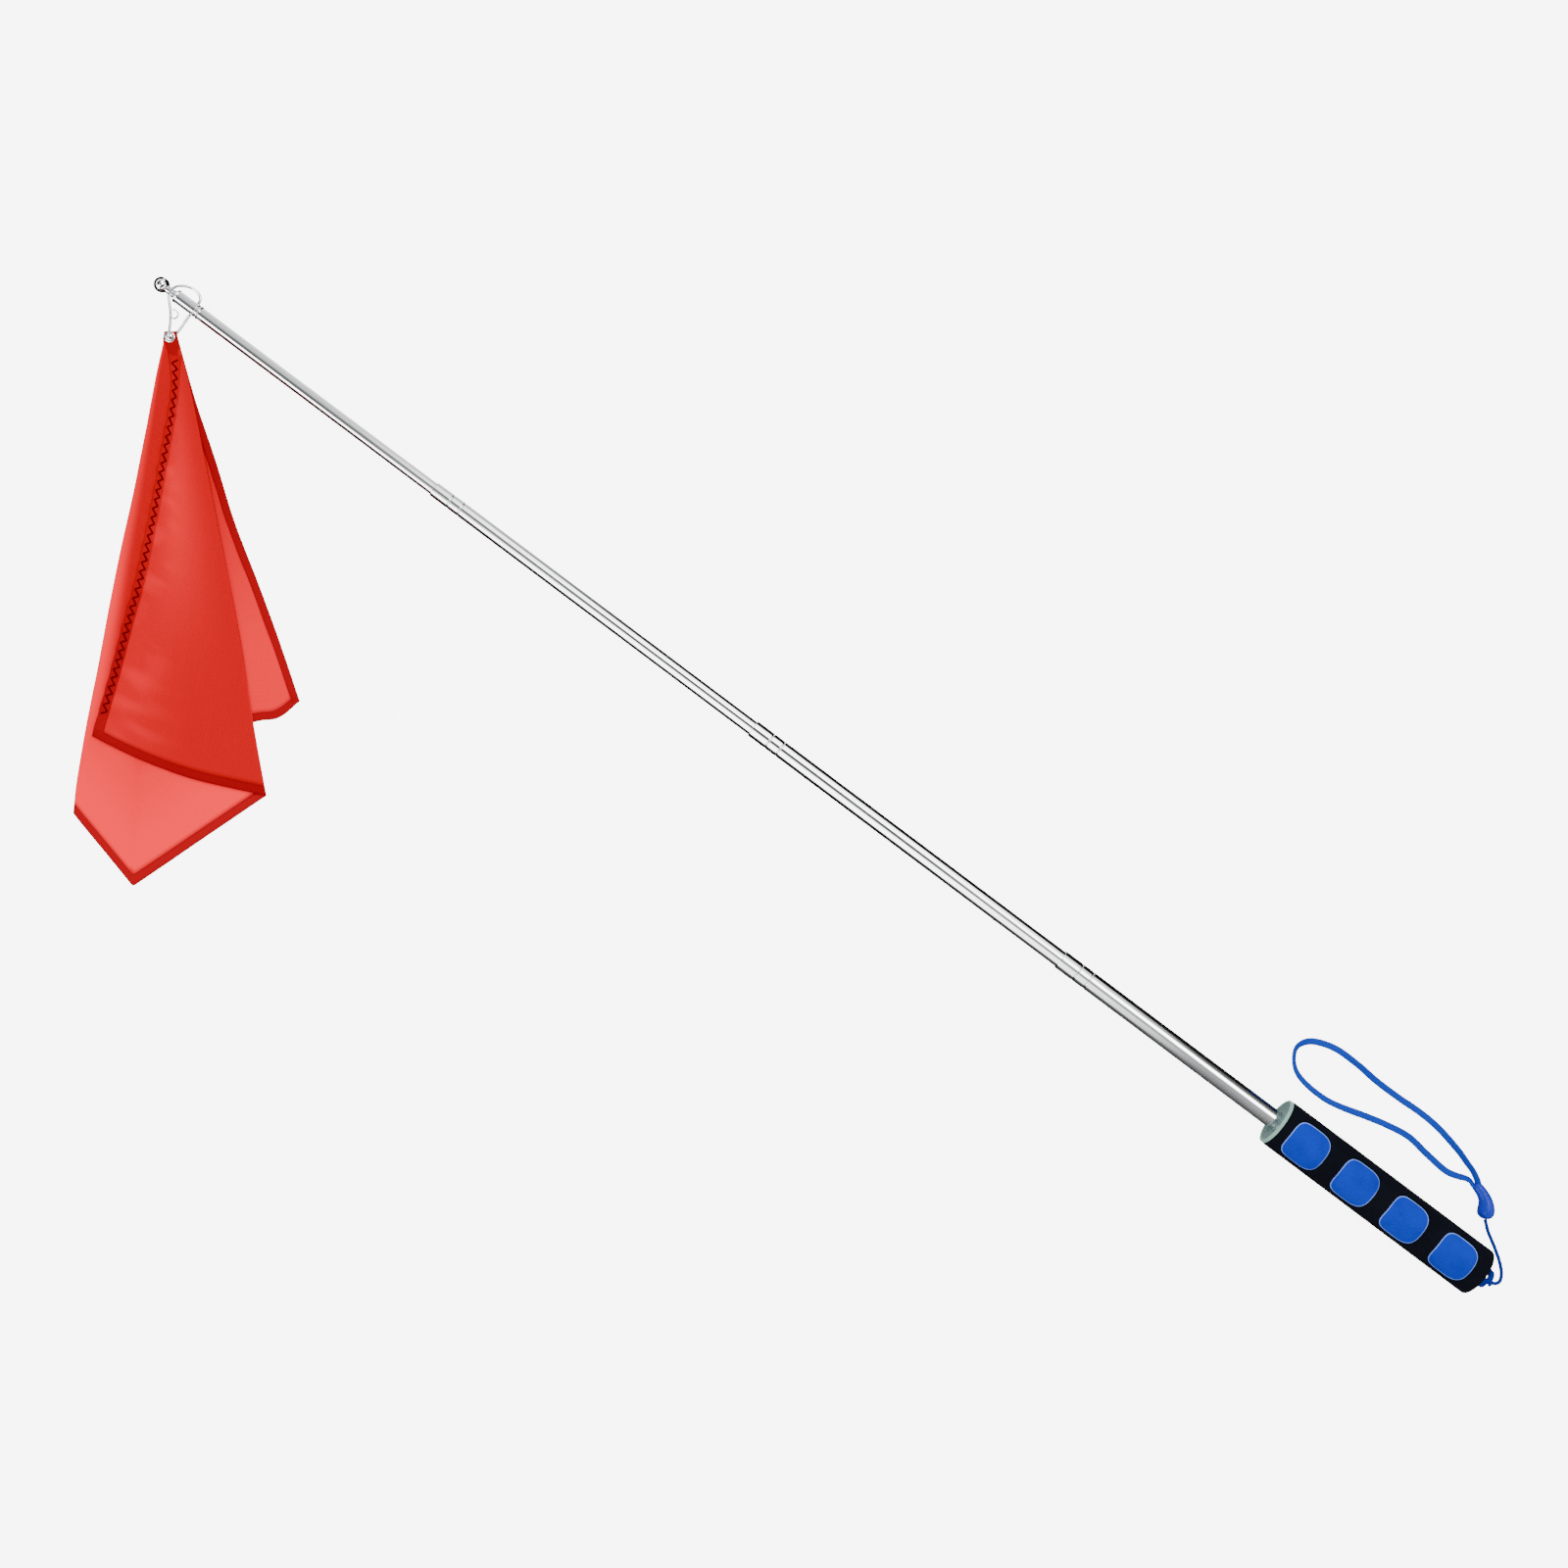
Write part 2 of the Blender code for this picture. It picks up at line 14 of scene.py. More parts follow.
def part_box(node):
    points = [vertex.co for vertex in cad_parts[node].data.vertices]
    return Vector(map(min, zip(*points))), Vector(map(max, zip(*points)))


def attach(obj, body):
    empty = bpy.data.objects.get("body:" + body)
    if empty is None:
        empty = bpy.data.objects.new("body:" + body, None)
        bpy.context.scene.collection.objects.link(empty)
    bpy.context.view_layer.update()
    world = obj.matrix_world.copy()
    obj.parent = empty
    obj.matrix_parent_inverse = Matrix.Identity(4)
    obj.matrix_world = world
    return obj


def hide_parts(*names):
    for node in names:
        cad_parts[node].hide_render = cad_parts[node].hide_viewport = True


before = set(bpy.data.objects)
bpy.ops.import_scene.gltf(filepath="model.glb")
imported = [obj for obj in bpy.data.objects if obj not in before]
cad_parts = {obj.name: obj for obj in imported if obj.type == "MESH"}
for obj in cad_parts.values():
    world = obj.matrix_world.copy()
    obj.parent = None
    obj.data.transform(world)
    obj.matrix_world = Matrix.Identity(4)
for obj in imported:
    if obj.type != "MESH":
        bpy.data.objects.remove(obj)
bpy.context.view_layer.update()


# ---------------------------------------------------------------- where the pole lies
# Four tubes share one line, which tips down a little from the grip's front edge to the ball.
# Every tube's box is centred on that line, so two of the boxes give it.

MM = 0.001


def middle(node):
    low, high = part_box(node)
    return (low + high) / 2


FIRST_TUBE_MIDDLE = 158.25 * MM
pole_line = (middle("section_4_tube") - middle("section_1_tube")).normalized()
pole_side = Vector((0, 1, 0))
pole_up = pole_line.cross(pole_side)
butt_face = middle("section_1_tube") - pole_line * FIRST_TUBE_MIDDLE
pole = Matrix.Translation(butt_face) @ Matrix((pole_line, pole_side, pole_up)).transposed().to_4x4()
ground = Matrix.Translation((butt_face.x, butt_face.y, 0))


# ---------------------------------------------------------------- camera
# It looks straight down on the middle of the pole, turned so that the pole crosses the picture
# from the tip at the upper left to the grip at the lower right.

CAMERA_OVER = Vector((510.5, 15.6, 1280)) * MM
CAMERA_TURN = math.radians(216.9)
CAMERA_WIDTH = 950.4 * MM
CAMERA_SENSOR = 36.0

eye = bpy.data.cameras.new("camera")
eye.sensor_width = CAMERA_SENSOR
eye.lens = CAMERA_SENSOR * (CAMERA_OVER.z - butt_face.z / 2) / CAMERA_WIDTH
camera = bpy.data.objects.new("camera", eye)
camera.location = ground @ CAMERA_OVER
camera.rotation_euler = (0, 0, CAMERA_TURN)
bpy.context.scene.collection.objects.link(camera)
bpy.context.scene.camera = camera


# ---------------------------------------------------------------- lanyard link
# Thin round braided cord. It comes out of the hole in the butt cap, drops to the floor and turns back
# beside the grip to the moulded crimp. Woven over a core, so it shows small slanted strands.

LINK_DIAMETER = 2.2 * MM
LINK_BLUE = (0.007, 0.034, 0.40)
LINK_DARK = (0.002, 0.009, 0.14)


def smooth_route(points, count, closed=False):
    """Evenly stepped points on a Catmull-Rom curve through the given ones."""
    points = [Vector(p) for p in points]
    if closed:
        ring = [points[-1]] + points + points[:2]
    else:
        ring = [2 * points[0] - points[1]] + points + [2 * points[-1] - points[-2]]
    fine = []
    for p0, p1, p2, p3 in zip(ring, ring[1:], ring[2:], ring[3:]):
        for step in range(20):
            t = step / 20
            linear = (p2 - p0) * t
            square = (2 * p0 - 5 * p1 + 4 * p2 - p3) * t**2
            cubic = (3 * p1 - p0 - 3 * p2 + p3) * t**3
            fine.append(0.5 * (2 * p1 + linear + square + cubic))
    fine.append(points[0] if closed else points[-1])
    lengths = [0.0]
    for a, b in zip(fine, fine[1:]):
        lengths.append(lengths[-1] + (b - a).length)
    stations = count if closed else count - 1
    route = []
    at = 0
    for i in range(count):
        goal = lengths[-1] * i / stations
        while at < len(lengths) - 2 and lengths[at + 1] < goal:
            at += 1
        share = (goal - lengths[at]) / (lengths[at + 1] - lengths[at])
        route.append(fine[at].lerp(fine[at + 1], min(share, 1.0)))
    return route


def wire_places(route, closed=False):
    """One matrix for each point of a route: x and y lie across it, z runs along it, with no twist."""
    count = len(route)
    if closed:
        ways = [route[(i + 1) % count] - route[i - 1] for i in range(count)]
    else:
        ways = [route[min(i + 1, count - 1)] - route[max(i - 1, 0)] for i in range(count)]
    turn = ways[0].to_track_quat("Z", "Y")
    places = []
    for before, way, point in zip([ways[0]] + ways, ways, route):
        turn = before.rotation_difference(way) @ turn
        places.append(Matrix.Translation(point) @ turn.to_matrix().to_4x4())
    return places


def round_outline(radius, sides):
    angles = [2 * math.pi * i / sides for i in range(sides)]
    return [(radius * math.cos(a), radius * math.sin(a)) for a in angles]


def swept(name, outline, places, closed=False):
    """An outline drawn along its places. Each point's 'thread' holds its place in the outline
    and the length behind it, so that strands can follow the piece."""
    bm = bmesh.new()
    thread = bm.verts.layers.float_vector.new("thread")
    first = []
    for x, y in outline:
        first.append(bm.verts.new(places[0] @ Vector((x, y, 0))))
        first[-1][thread] = (x, y, 0)
    edges = [bm.edges.new(pair) for pair in zip(first, first[1:] + first[:1])]
    start_edges = edges
    ends = [first]
    length = 0
    for before, place in zip(places, places[1:]):
        length += (place.translation - before.translation).length
        grown = bmesh.ops.extrude_edge_only(bm, edges=edges)["geom"]
        ring = [g for g in grown if isinstance(g, bmesh.types.BMVert)]
        bmesh.ops.transform(bm, matrix=place @ before.inverted(), verts=ring)
        for v in ring:
            v[thread].z = length
        in_ring = set(ring)
        edges = [e for e in {e for v in ring for e in v.link_edges} if set(e.verts) <= in_ring]
    if closed:
        bmesh.ops.bridge_loops(bm, edges=start_edges + edges)
    else:
        for end_edges in (start_edges, edges):
            bmesh.ops.contextual_create(bm, geom=end_edges)
    bmesh.ops.recalc_face_normals(bm, faces=bm.faces)
    return finished(name, bm)


def finished(name, bm, sharp_over=35.0):
    """Puts a bmesh in the scene as an object at the origin, smooth except at its sharp edges."""
    mesh = bpy.data.meshes.new(name)
    bm.to_mesh(mesh)
    bm.free()
    mesh.shade_smooth()
    mesh.set_sharp_from_angle(angle=math.radians(sharp_over))
    made = bpy.data.objects.new(name, mesh)
    bpy.context.scene.collection.objects.link(made)
    return made


def principled(name, colour, roughness, **sockets):
    """A new material with one Principled BSDF. Returns the material, its tree and the shader."""
    made = bpy.data.materials.new(name)
    made.use_nodes = True
    shader = made.node_tree.nodes["Principled BSDF"]
    shader.inputs["Base Color"].default_value = (*colour, 1)
    shader.inputs["Roughness"].default_value = roughness
    for socket, value in sockets.items():
        shader.inputs[socket.replace("_", " ")].default_value = value
    return made, made.node_tree, shader


def put(tree, kind, **inputs):
    """A shader node with the given values on its sockets."""
    node = tree.nodes.new("ShaderNode" + kind)
    for socket, value in inputs.items():
        node.inputs[socket.replace("_", " ")].default_value = value
    return node


def maths(tree, operation, *values):
    """A Math node whose inputs are numbers or other nodes' outputs."""
    node = tree.nodes.new("ShaderNodeMath")
    node.operation = operation
    for socket, value in zip(node.inputs, values):
        if isinstance(value, bpy.types.NodeSocket):
            tree.links.new(value, socket)
        else:
            socket.default_value = value
    return node.outputs[0]


def blended(tree, factor, low, high):
    """A colour between two, each a plain colour or another node's output."""
    node = tree.nodes.new("ShaderNodeMix")
    node.data_type = "RGBA"
    tree.links.new(factor, node.inputs["Factor"])
    for socket, value in ((node.inputs[6], low), (node.inputs[7], high)):
        if isinstance(value, bpy.types.NodeSocket):
            tree.links.new(value, socket)
        else:
            socket.default_value = (*value, 1)
    return node.outputs[2]


def bumped(tree, shader, height, depth):
    """Height of that depth in metres, as the shader's normal."""
    bump = put(tree, "Bump", Strength=1.0, Distance=depth)
    tree.links.new(height, bump.inputs["Height"])
    tree.links.new(bump.outputs["Normal"], shader.inputs["Normal"])


def new_effect(name, inputs, outputs):
    """An empty node group with float inputs (name, value) and float outputs."""
    tree = bpy.data.node_groups.new(name, "ShaderNodeTree")
    for socket, value in inputs:
        made = tree.interface.new_socket(socket, in_out="INPUT", socket_type="NodeSocketFloat")
        made.default_value = value
    for socket in outputs:
        tree.interface.new_socket(socket, in_out="OUTPUT", socket_type="NodeSocketFloat")
    return tree, tree.nodes.new("NodeGroupInput"), tree.nodes.new("NodeGroupOutput")


def effect(tree, group, **inputs):
    node = tree.nodes.new("ShaderNodeGroup")
    node.node_tree = group
    for socket, value in inputs.items():
        node.inputs[socket].default_value = value
    return node


def build_braid():
    """Strands that cross at a slant and run with the piece, from its 'thread' attribute. Shade paints shade
    between the strands, broken by random fuzz.
    """
    tree, given, result = new_effect("braid", [("Pitch", 0.001), ("Slant", 0.6)], ["Strand", "Shade"])
    thread = tree.nodes.new("ShaderNodeAttribute")
    thread.attribute_name = "thread"
    place = tree.nodes.new("ShaderNodeSeparateXYZ")
    tree.links.new(thread.outputs["Vector"], place.inputs[0])
    around = maths(tree, "ADD", place.outputs["X"], place.outputs["Y"])
    leaning = maths(tree, "MULTIPLY", around, given.outputs["Slant"])
    strands = []
    for operation in ("ADD", "SUBTRACT"):
        along = maths(tree, operation, place.outputs["Z"], leaning)
        turns = maths(tree, "DIVIDE", along, given.outputs["Pitch"])
        strands.append(maths(tree, "ABSOLUTE", maths(tree, "SINE", maths(tree, "MULTIPLY", turns, math.pi))))
    strand = maths(tree, "MULTIPLY", strands[0], strands[1])
    fuzz = put(tree, "TexNoise", Scale=420, Detail=3)
    # Painted shade: darker in the hollows between strands, mixed with random fuzz
    shade = maths(tree, "MULTIPLY", maths(tree, "SQRT", strand), fuzz.outputs["Fac"])
    tree.links.new(strand, result.inputs["Strand"])
    tree.links.new(shade, result.inputs["Shade"])
    return tree


braid = build_braid()

cord_look, tree, shader = principled("braided_cord", LINK_BLUE, 0.62, Specular_IOR_Level=0.03)
strands = effect(tree, braid, Pitch=0.8 * MM, Slant=0.7)
# Painted shade between the strands, from the braid's Shade
colour = blended(tree, strands.outputs["Shade"], LINK_DARK, LINK_BLUE)
tree.links.new(colour, shader.inputs["Base Color"])
bumped(tree, shader, strands.outputs["Strand"], 0.12 * MM)

LINK_ROUTE = [
    (-8.9, 0, 0),
    (-12.0, -0.6, -0.4),
    (-14.6, -3.2, -2.2),
    (-14.8, -7.6, -6.4),
    (-12.0, -12.6, -11.2),
    (-7.0, -17.0, -14.0),
    (-1.0, -20.8, -14.4),
    (4.6, -23.8, -13.4),
    (7.6, -26.1, -12.9),
    (10.6, -28.5, -12.9),
]
link_exit = pole @ Vector((-8.9 * MM, 0, 0))
link_start = Vector((ground.translation.x, ground.translation.y, link_exit.z))
link_route = smooth_route([link_start + Vector(p) * MM for p in LINK_ROUTE], 72)
link_cord = swept("link_cord", round_outline(LINK_DIAMETER / 2, 12), wire_places(link_route))
link_cord.data.materials.append(cord_look)
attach(link_cord, "grip")
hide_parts("lanyard_link")


# ---------------------------------------------------------------- strap crimp
# Blue nylon bead, moulded round both ends of the tape and the link. It is a drop with a short neck,
# a little bent, with the gloss of moulded plastic.

CRIMP_START = Vector((11.0, -28.8, 4.5)) * MM
CRIMP_END = Vector((28.2, -42.2, 4.5)) * MM
CRIMP_BEND = 3.2 * MM
CRIMP_WIDER = 1.18
CRIMP_PROFILE = [
    (0.0, 1.1),
    (0.012, 2.2),
    (0.05, 3.4),
    (0.1, 4.15),
    (0.16, 4.5),
    (0.23, 4.5),
    (0.32, 4.3),
    (0.42, 3.9),
    (0.52, 3.5),
    (0.62, 3.2),
    (0.74, 2.95),
    (0.86, 2.75),
    (0.96, 2.6),
    (0.985, 2.4),
    (1.0, 2.0),
]
CRIMP_BLUE = (0.004, 0.020, 0.34)
CRIMP_DEEP = (0.003, 0.014, 0.26)

crimp_line = CRIMP_END - CRIMP_START
crimp_out = Vector((crimp_line.y, -crimp_line.x, 0)).normalized()
crimp_route = []
for share, radius in CRIMP_PROFILE:
    bow = crimp_out * CRIMP_BEND * math.sin(math.pi * share)
    crimp_route.append(ground @ (CRIMP_START + crimp_line * share + bow))


def lying_place(point, way):
    """A place on a route that lies flat: x runs across it on the level, y upwards, z along it."""
    across = Vector((0, 0, 1)).cross(way).normalized()
    turn = Matrix((across, way.cross(across), way)).transposed().to_4x4()
    return Matrix.Translation(point) @ turn


crimp_places = []
crimp_ways = [b - a for a, b in zip(crimp_route, crimp_route[1:])]
for point, way, (share, radius) in zip(crimp_route, crimp_ways + crimp_ways[-1:], CRIMP_PROFILE):
    size = Matrix.Diagonal((radius * CRIMP_WIDER, radius, 1, 1))
    crimp_places.append(lying_place(point, way.normalized()) @ size)
strap_bead = swept("strap_bead", round_outline(MM, 40), crimp_places)

bead_look, tree, shader = principled("moulded_blue", CRIMP_BLUE, 0.35, Specular_IOR_Level=0.2)


def build_grain():
    """Fine closed-cell or moulded grain: small pits in soft patches, the same from every side."""
    inputs = [("Cells", 900.0), ("Patches", 60.0), ("Roughing", 0.5)]
    tree, given, result = new_effect("grain", inputs, ["Height", "Shade"])
    place = tree.nodes.new("ShaderNodeTexCoord")
    cells = put(tree, "TexVoronoi")
    small = put(tree, "TexNoise", Detail=4, Roughness=0.6)
    patches = put(tree, "TexNoise", Detail=2)
    for node, size in ((cells, "Cells"), (small, "Cells"), (patches, "Patches")):
        tree.links.new(place.outputs["Object"], node.inputs["Vector"])
        tree.links.new(given.outputs[size], node.inputs["Scale"])
    rough = maths(tree, "MULTIPLY", small.outputs["Fac"], given.outputs["Roughing"])
    height = maths(tree, "ADD", cells.outputs["Distance"], rough)
    mottle = maths(tree, "MULTIPLY", small.outputs["Fac"], patches.outputs["Fac"])
    tree.links.new(height, result.inputs["Height"])
    tree.links.new(maths(tree, "MULTIPLY", mottle, 3.0), result.inputs["Shade"])
    return tree


grain = build_grain()

speckle = effect(tree, grain, Cells=1600.0, Patches=120.0, Roughing=0.4)
colour = blended(tree, speckle.outputs["Shade"], CRIMP_DEEP, CRIMP_BLUE)
tree.links.new(colour, shader.inputs["Base Color"])
bumped(tree, shader, speckle.outputs["Height"], 0.02 * MM)
strap_bead.data.materials.append(bead_look)
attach(strap_bead, "grip")
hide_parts("strap_crimp")


# ---------------------------------------------------------------- wrist strap
# Flat woven tape in one loop, both ends held in the crimp. It lies on the floor beside the grip
# and turns over its edge here and there, so that it looks wide in some places and thin in others.

TAPE_WIDTH = 4.2 * MM
TAPE_THICKNESS = 1.5 * MM
TAPE_CLEAR = 0.15 * MM
TAPE_FLATNESS = 0.45
TAPE_LYING = 1.7
TAPE_LIFT = 2.8
TAPE_BLUE = (0.028, 0.095, 0.60)
TAPE_DARK = (0.005, 0.018, 0.22)

# The loop's own points, and how far the tape leans out of flat at each, in degrees. Where a point is
# no higher than TAPE_LYING the tape rests on the floor, and above that it is lifted towards the crimp.
TAPE_ROUTE = [
    (27.2, -40.9, 4.5, 50),
    (29.8, -41.1, 4.5, 50),
    (31.5, -42.0, 4.2, 50),
    (34.8, -41.5, 3.4, 45),
    (40.0, -39.4, 2.3, 30),
    (47.3, -38.0, 1.8, 15),
    (62.3, -39.4, 1.7, 0),
    (76.9, -41.1, 1.7, 0),
    (92.4, -38.7, 1.7, 24),
    (106.8, -34.9, 1.7, 10),
    (119.9, -31.1, 1.7, 34),
    (131.8, -28.8, 1.7, 38),
    (146.2, -29.2, 1.7, 40),
    (156.0, -32.0, 1.7, 48),
    (162.4, -38.2, 1.7, 55),
    (164.2, -45.2, 1.7, 40),
    (158.6, -52.4, 1.7, 10),
    (145.0, -57.2, 1.7, 0),
    (129.0, -57.6, 1.7, 28),
    (112.8, -56.4, 1.7, 18),
    (97.0, -56.4, 1.7, 8),
    (79.3, -57.1, 1.7, 0),
    (64.8, -56.1, 1.7, 12),
    (48.3, -52.6, 1.8, 36),
    (40.0, -50.0, 2.3, 44),
    (33.5, -47.8, 3.4, 50),
    (29.4, -45.4, 4.2, 50),
    (27.6, -44.0, 4.5, 50),
    (26.2, -42.2, 4.5, 50),
]

# The lean is carried through the same curve as the points, as a fourth value
tape_points = smooth_route([Vector((x, y, z, lean / 10)) for x, y, z, lean in TAPE_ROUTE], 260)
tape_route = []
tape_places = []
for i, point in enumerate(tape_points):
    lean = math.radians(point.w * 10)
    before = tape_points[max(i - 1, 0)]
    after = tape_points[min(i + 1, len(tape_points) - 1)]
    way = Vector((after.x - before.x, after.y - before.y, after.z - before.z)).normalized()
    resting = (TAPE_WIDTH * math.sin(lean) + TAPE_THICKNESS * math.cos(lean)) / 2 + TAPE_CLEAR
    lifted = min(1.0, max(0.0, (point.z - TAPE_LYING) / TAPE_LIFT))
    height = resting + (point.z * MM - resting) * lifted
    tape_route.append(ground @ Vector((point.x * MM, point.y * MM, height)))
    tape_places.append(lying_place(tape_route[-1], way) @ Matrix.Rotation(lean, 4, "Z"))

tape_outline = []
for x, y in round_outline(1.0, 20):
    across = math.copysign(abs(x) ** TAPE_FLATNESS, x) * TAPE_WIDTH / 2
    through = math.copysign(abs(y) ** TAPE_FLATNESS, y) * TAPE_THICKNESS / 2
    tape_outline.append((across, through))
strap_tape = swept("strap_tape", tape_outline, tape_places)
strap_tape.data.set_sharp_from_angle(angle=math.radians(80))

tape_look, tree, shader = principled("woven_tape", TAPE_BLUE, 0.6, Specular_IOR_Level=0.03)
strands = effect(tree, braid, Pitch=0.9 * MM, Slant=0.5)
# Painted shade between the strands, from the braid's Shade
colour = blended(tree, strands.outputs["Shade"], TAPE_DARK, TAPE_BLUE)
tree.links.new(colour, shader.inputs["Base Color"])
bumped(tree, shader, strands.outputs["Strand"], 0.14 * MM)
strap_tape.data.materials.append(tape_look)
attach(strap_tape, "grip")
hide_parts("wrist_strap")


# ---------------------------------------------------------------- grip foam
# Black closed-cell foam sleeve, ground round and glued over the first tube. Rounded pockets are cut
# into two sides of it for the pads.

GRIP_LENGTH = 149.7 * MM
GRIP_RADIUS = 15.5 * MM
GRIP_BORE = 6.2 * MM
GRIP_EDGE = 1.2 * MM
PAD_COUNT = 4
PAD_FIRST = 21.9 * MM
PAD_PITCH = 36.4 * MM
PAD_HALF = 12.6 * MM
PAD_FLOOR = 14.0 * MM
PAD_SQUARENESS = 3.7
PAD_TURN = math.radians(-8.0)
POCKET_GAP = 0.3 * MM
FOAM_BLACK = (0.0012, 0.0016, 0.0030)
FOAM_GREY = (0.0034, 0.0040, 0.0068)
HELD_OVER = 2 * MM
HELD_IN = 0.3 * MM


def arc(centre, radius, start, end, steps):
    """Points (x, radius) on an arc in the profile plane, angles in degrees from +X towards +radius."""
    angles = [math.radians(start + (end - start) * i / steps) for i in range(steps + 1)]
    return [(centre[0] + radius * math.cos(a), centre[1] + radius * math.sin(a)) for a in angles]


def held(profile):
    """The profile with a point close to both ends of each long stretch, so that it shades straight."""
    points = []
    for (x, radius), (next_x, next_radius) in zip(profile, profile[1:] + profile[:1]):
        points.append((x, radius))
        length = math.hypot(next_x - x, next_radius - radius)
        if length > HELD_OVER:
            for share in (HELD_IN / length, 1 - HELD_IN / length):
                points.append((x + (next_x - x) * share, radius + (next_radius - radius) * share))
    return points


def turned(name, profile, place, sides=96):
    """A closed profile of (x, radius) points turned about its place's X axis."""
    bm = bmesh.new()
    corners = [bm.verts.new((x, 0, radius)) for x, radius in held(profile)]
    edges = [bm.edges.new(pair) for pair in zip(corners, corners[1:] + corners[:1])]
    bmesh.ops.spin(
        bm,
        geom=corners + edges,
        cent=(0, 0, 0),
        axis=(1, 0, 0),
        angle=2 * math.pi,
        steps=sides,
        use_merge=True,
    )
    bmesh.ops.remove_doubles(bm, verts=bm.verts, dist=1e-6)
    bmesh.ops.recalc_face_normals(bm, faces=bm.faces)
    bmesh.ops.transform(bm, matrix=place, verts=bm.verts)
    return finished(name, bm)


def eased(piece, width, segments=2):
    """Rounds a piece's sharp edges."""
    bevel = piece.modifiers.new("eased", "BEVEL")
    bevel.width = width
    bevel.segments = segments
    bevel.limit_method = "ANGLE"
    bevel.angle_limit = math.radians(35)
    bevel.harden_normals = True


def pad_block(half, low, high, place, steps=20, crown=0.0):
    """A rounded square that follows a cylinder about X, from radius low to high, centred on +Z."""
    bm = bmesh.new()
    edge = bm.verts.layers.float.new("edge")
    bmesh.ops.create_grid(bm, x_segments=steps, y_segments=steps, size=1)
    for v in bm.verts:
        u, w = v.co.x, v.co.y
        ring = max(abs(u), abs(w))
        way = math.atan2(w, u)
        square = abs(math.cos(way)) ** PAD_SQUARENESS + abs(math.sin(way)) ** PAD_SQUARENESS
        out = half * ring * square ** (-1 / PAD_SQUARENESS)
        turn = math.asin(out * math.sin(way) / GRIP_RADIUS)
        v.co = (out * math.cos(way), low * math.sin(turn), low * math.cos(turn))
        v[edge] = ring
    top = bmesh.ops.extrude_face_region(bm, geom=bm.faces[:])
    for v in [g for g in top["geom"] if isinstance(g, bmesh.types.BMVert)]:
        v.co.yz = v.co.yz * ((high - crown * v[edge] ** 6) / low)
    bmesh.ops.recalc_face_normals(bm, faces=bm.faces)
    bmesh.ops.transform(bm, matrix=place, verts=bm.verts)
    return bm


def pad_places():
    for row, turn in (("top", PAD_TURN), ("under", PAD_TURN + math.pi)):
        for i in range(PAD_COUNT):
            along = Matrix.Translation((PAD_FIRST + PAD_PITCH * i, 0, 0))
            yield f"{row}_{i + 1}", pole @ along @ Matrix.Rotation(turn, 4, "X")


rear_round = arc((GRIP_EDGE, GRIP_RADIUS - GRIP_EDGE), GRIP_EDGE, 180, 90, 6)
front_round = arc((GRIP_LENGTH - GRIP_EDGE, GRIP_RADIUS - GRIP_EDGE), GRIP_EDGE, 90, 0, 6)
foam_profile = [(0, GRIP_BORE), *rear_round, *front_round, (GRIP_LENGTH, GRIP_BORE)]
foam_sleeve = turned("foam_sleeve", foam_profile, pole, sides=144)
pockets = bmesh.new()
for end, place in pad_places():
    pocket = pad_block(PAD_HALF + POCKET_GAP, PAD_FLOOR, GRIP_RADIUS + MM, place)
    pocket_mesh = bpy.data.meshes.new("pocket")
    pocket.to_mesh(pocket_mesh)
    pocket.free()
    pockets.from_mesh(pocket_mesh)
pocket_cutter = finished("pocket_cutter", pockets)
pocket_cut = foam_sleeve.modifiers.new("pockets", "BOOLEAN")
pocket_cut.operation = "DIFFERENCE"
pocket_cut.object = pocket_cutter
bpy.context.view_layer.update()
cut_mesh = bpy.data.meshes.new_from_object(foam_sleeve.evaluated_get(bpy.context.evaluated_depsgraph_get()))
foam_sleeve.modifiers.clear()
foam_sleeve.data = cut_mesh
foam_sleeve.data.shade_smooth()
foam_sleeve.data.set_sharp_from_angle(angle=math.radians(35))
bpy.data.objects.remove(pocket_cutter)

foam_look, tree, shader = principled("black_foam", FOAM_BLACK, 0.9, Specular_IOR_Level=0.02)
cells = effect(tree, grain, Cells=1500.0, Patches=45.0, Roughing=0.8)
colour = blended(tree, cells.outputs["Shade"], FOAM_BLACK, FOAM_GREY)
tree.links.new(colour, shader.inputs["Base Color"])
bumped(tree, shader, cells.outputs["Height"], 0.10 * MM)
foam_sleeve.data.materials.clear()
foam_sleeve.data.materials.append(foam_look)
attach(foam_sleeve, "grip")
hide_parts("grip_foam")


# ---------------------------------------------------------------- grip pads
# Eight blue foam pads, punched out as rounded squares and glued into the pockets. They stand almost
# flush, slightly crowned, and a painted highlight shows their rims paler than the faces.

PAD_TOP = 15.5 * MM
PAD_CROWN = 0.35 * MM
PAD_BLUE = (0.0070, 0.030, 0.36)
PAD_DEEP = (0.004, 0.016, 0.23)
PAD_RIM_HIGHLIGHT = (0.22, 0.36, 1.0)
PAD_HIGHLIGHT_MOTTLE = 1.3

pad_look, tree, shader = principled("blue_foam", PAD_BLUE, 0.85, Specular_IOR_Level=0.02)
cells = effect(tree, grain, Cells=1300.0, Patches=70.0, Roughing=0.9)
face = blended(tree, cells.outputs["Shade"], PAD_DEEP, PAD_BLUE)
edge = tree.nodes.new("ShaderNodeAttribute")
edge.attribute_name = "edge"
# Painted highlight: a pale rim round each pad, broken up by the foam's mottle
rim = put(tree, "MapRange", From_Min=0.95, From_Max=0.985)
tree.links.new(edge.outputs["Fac"], rim.inputs["Value"])
rim_highlight_mottle = maths(tree, "MULTIPLY", cells.outputs["Shade"], PAD_HIGHLIGHT_MOTTLE)
rim_highlight_mask = maths(tree, "MULTIPLY", rim.outputs["Result"], rim_highlight_mottle)
tree.links.new(blended(tree, rim_highlight_mask, face, PAD_RIM_HIGHLIGHT), shader.inputs["Base Color"])
bumped(tree, shader, cells.outputs["Height"], 0.12 * MM)
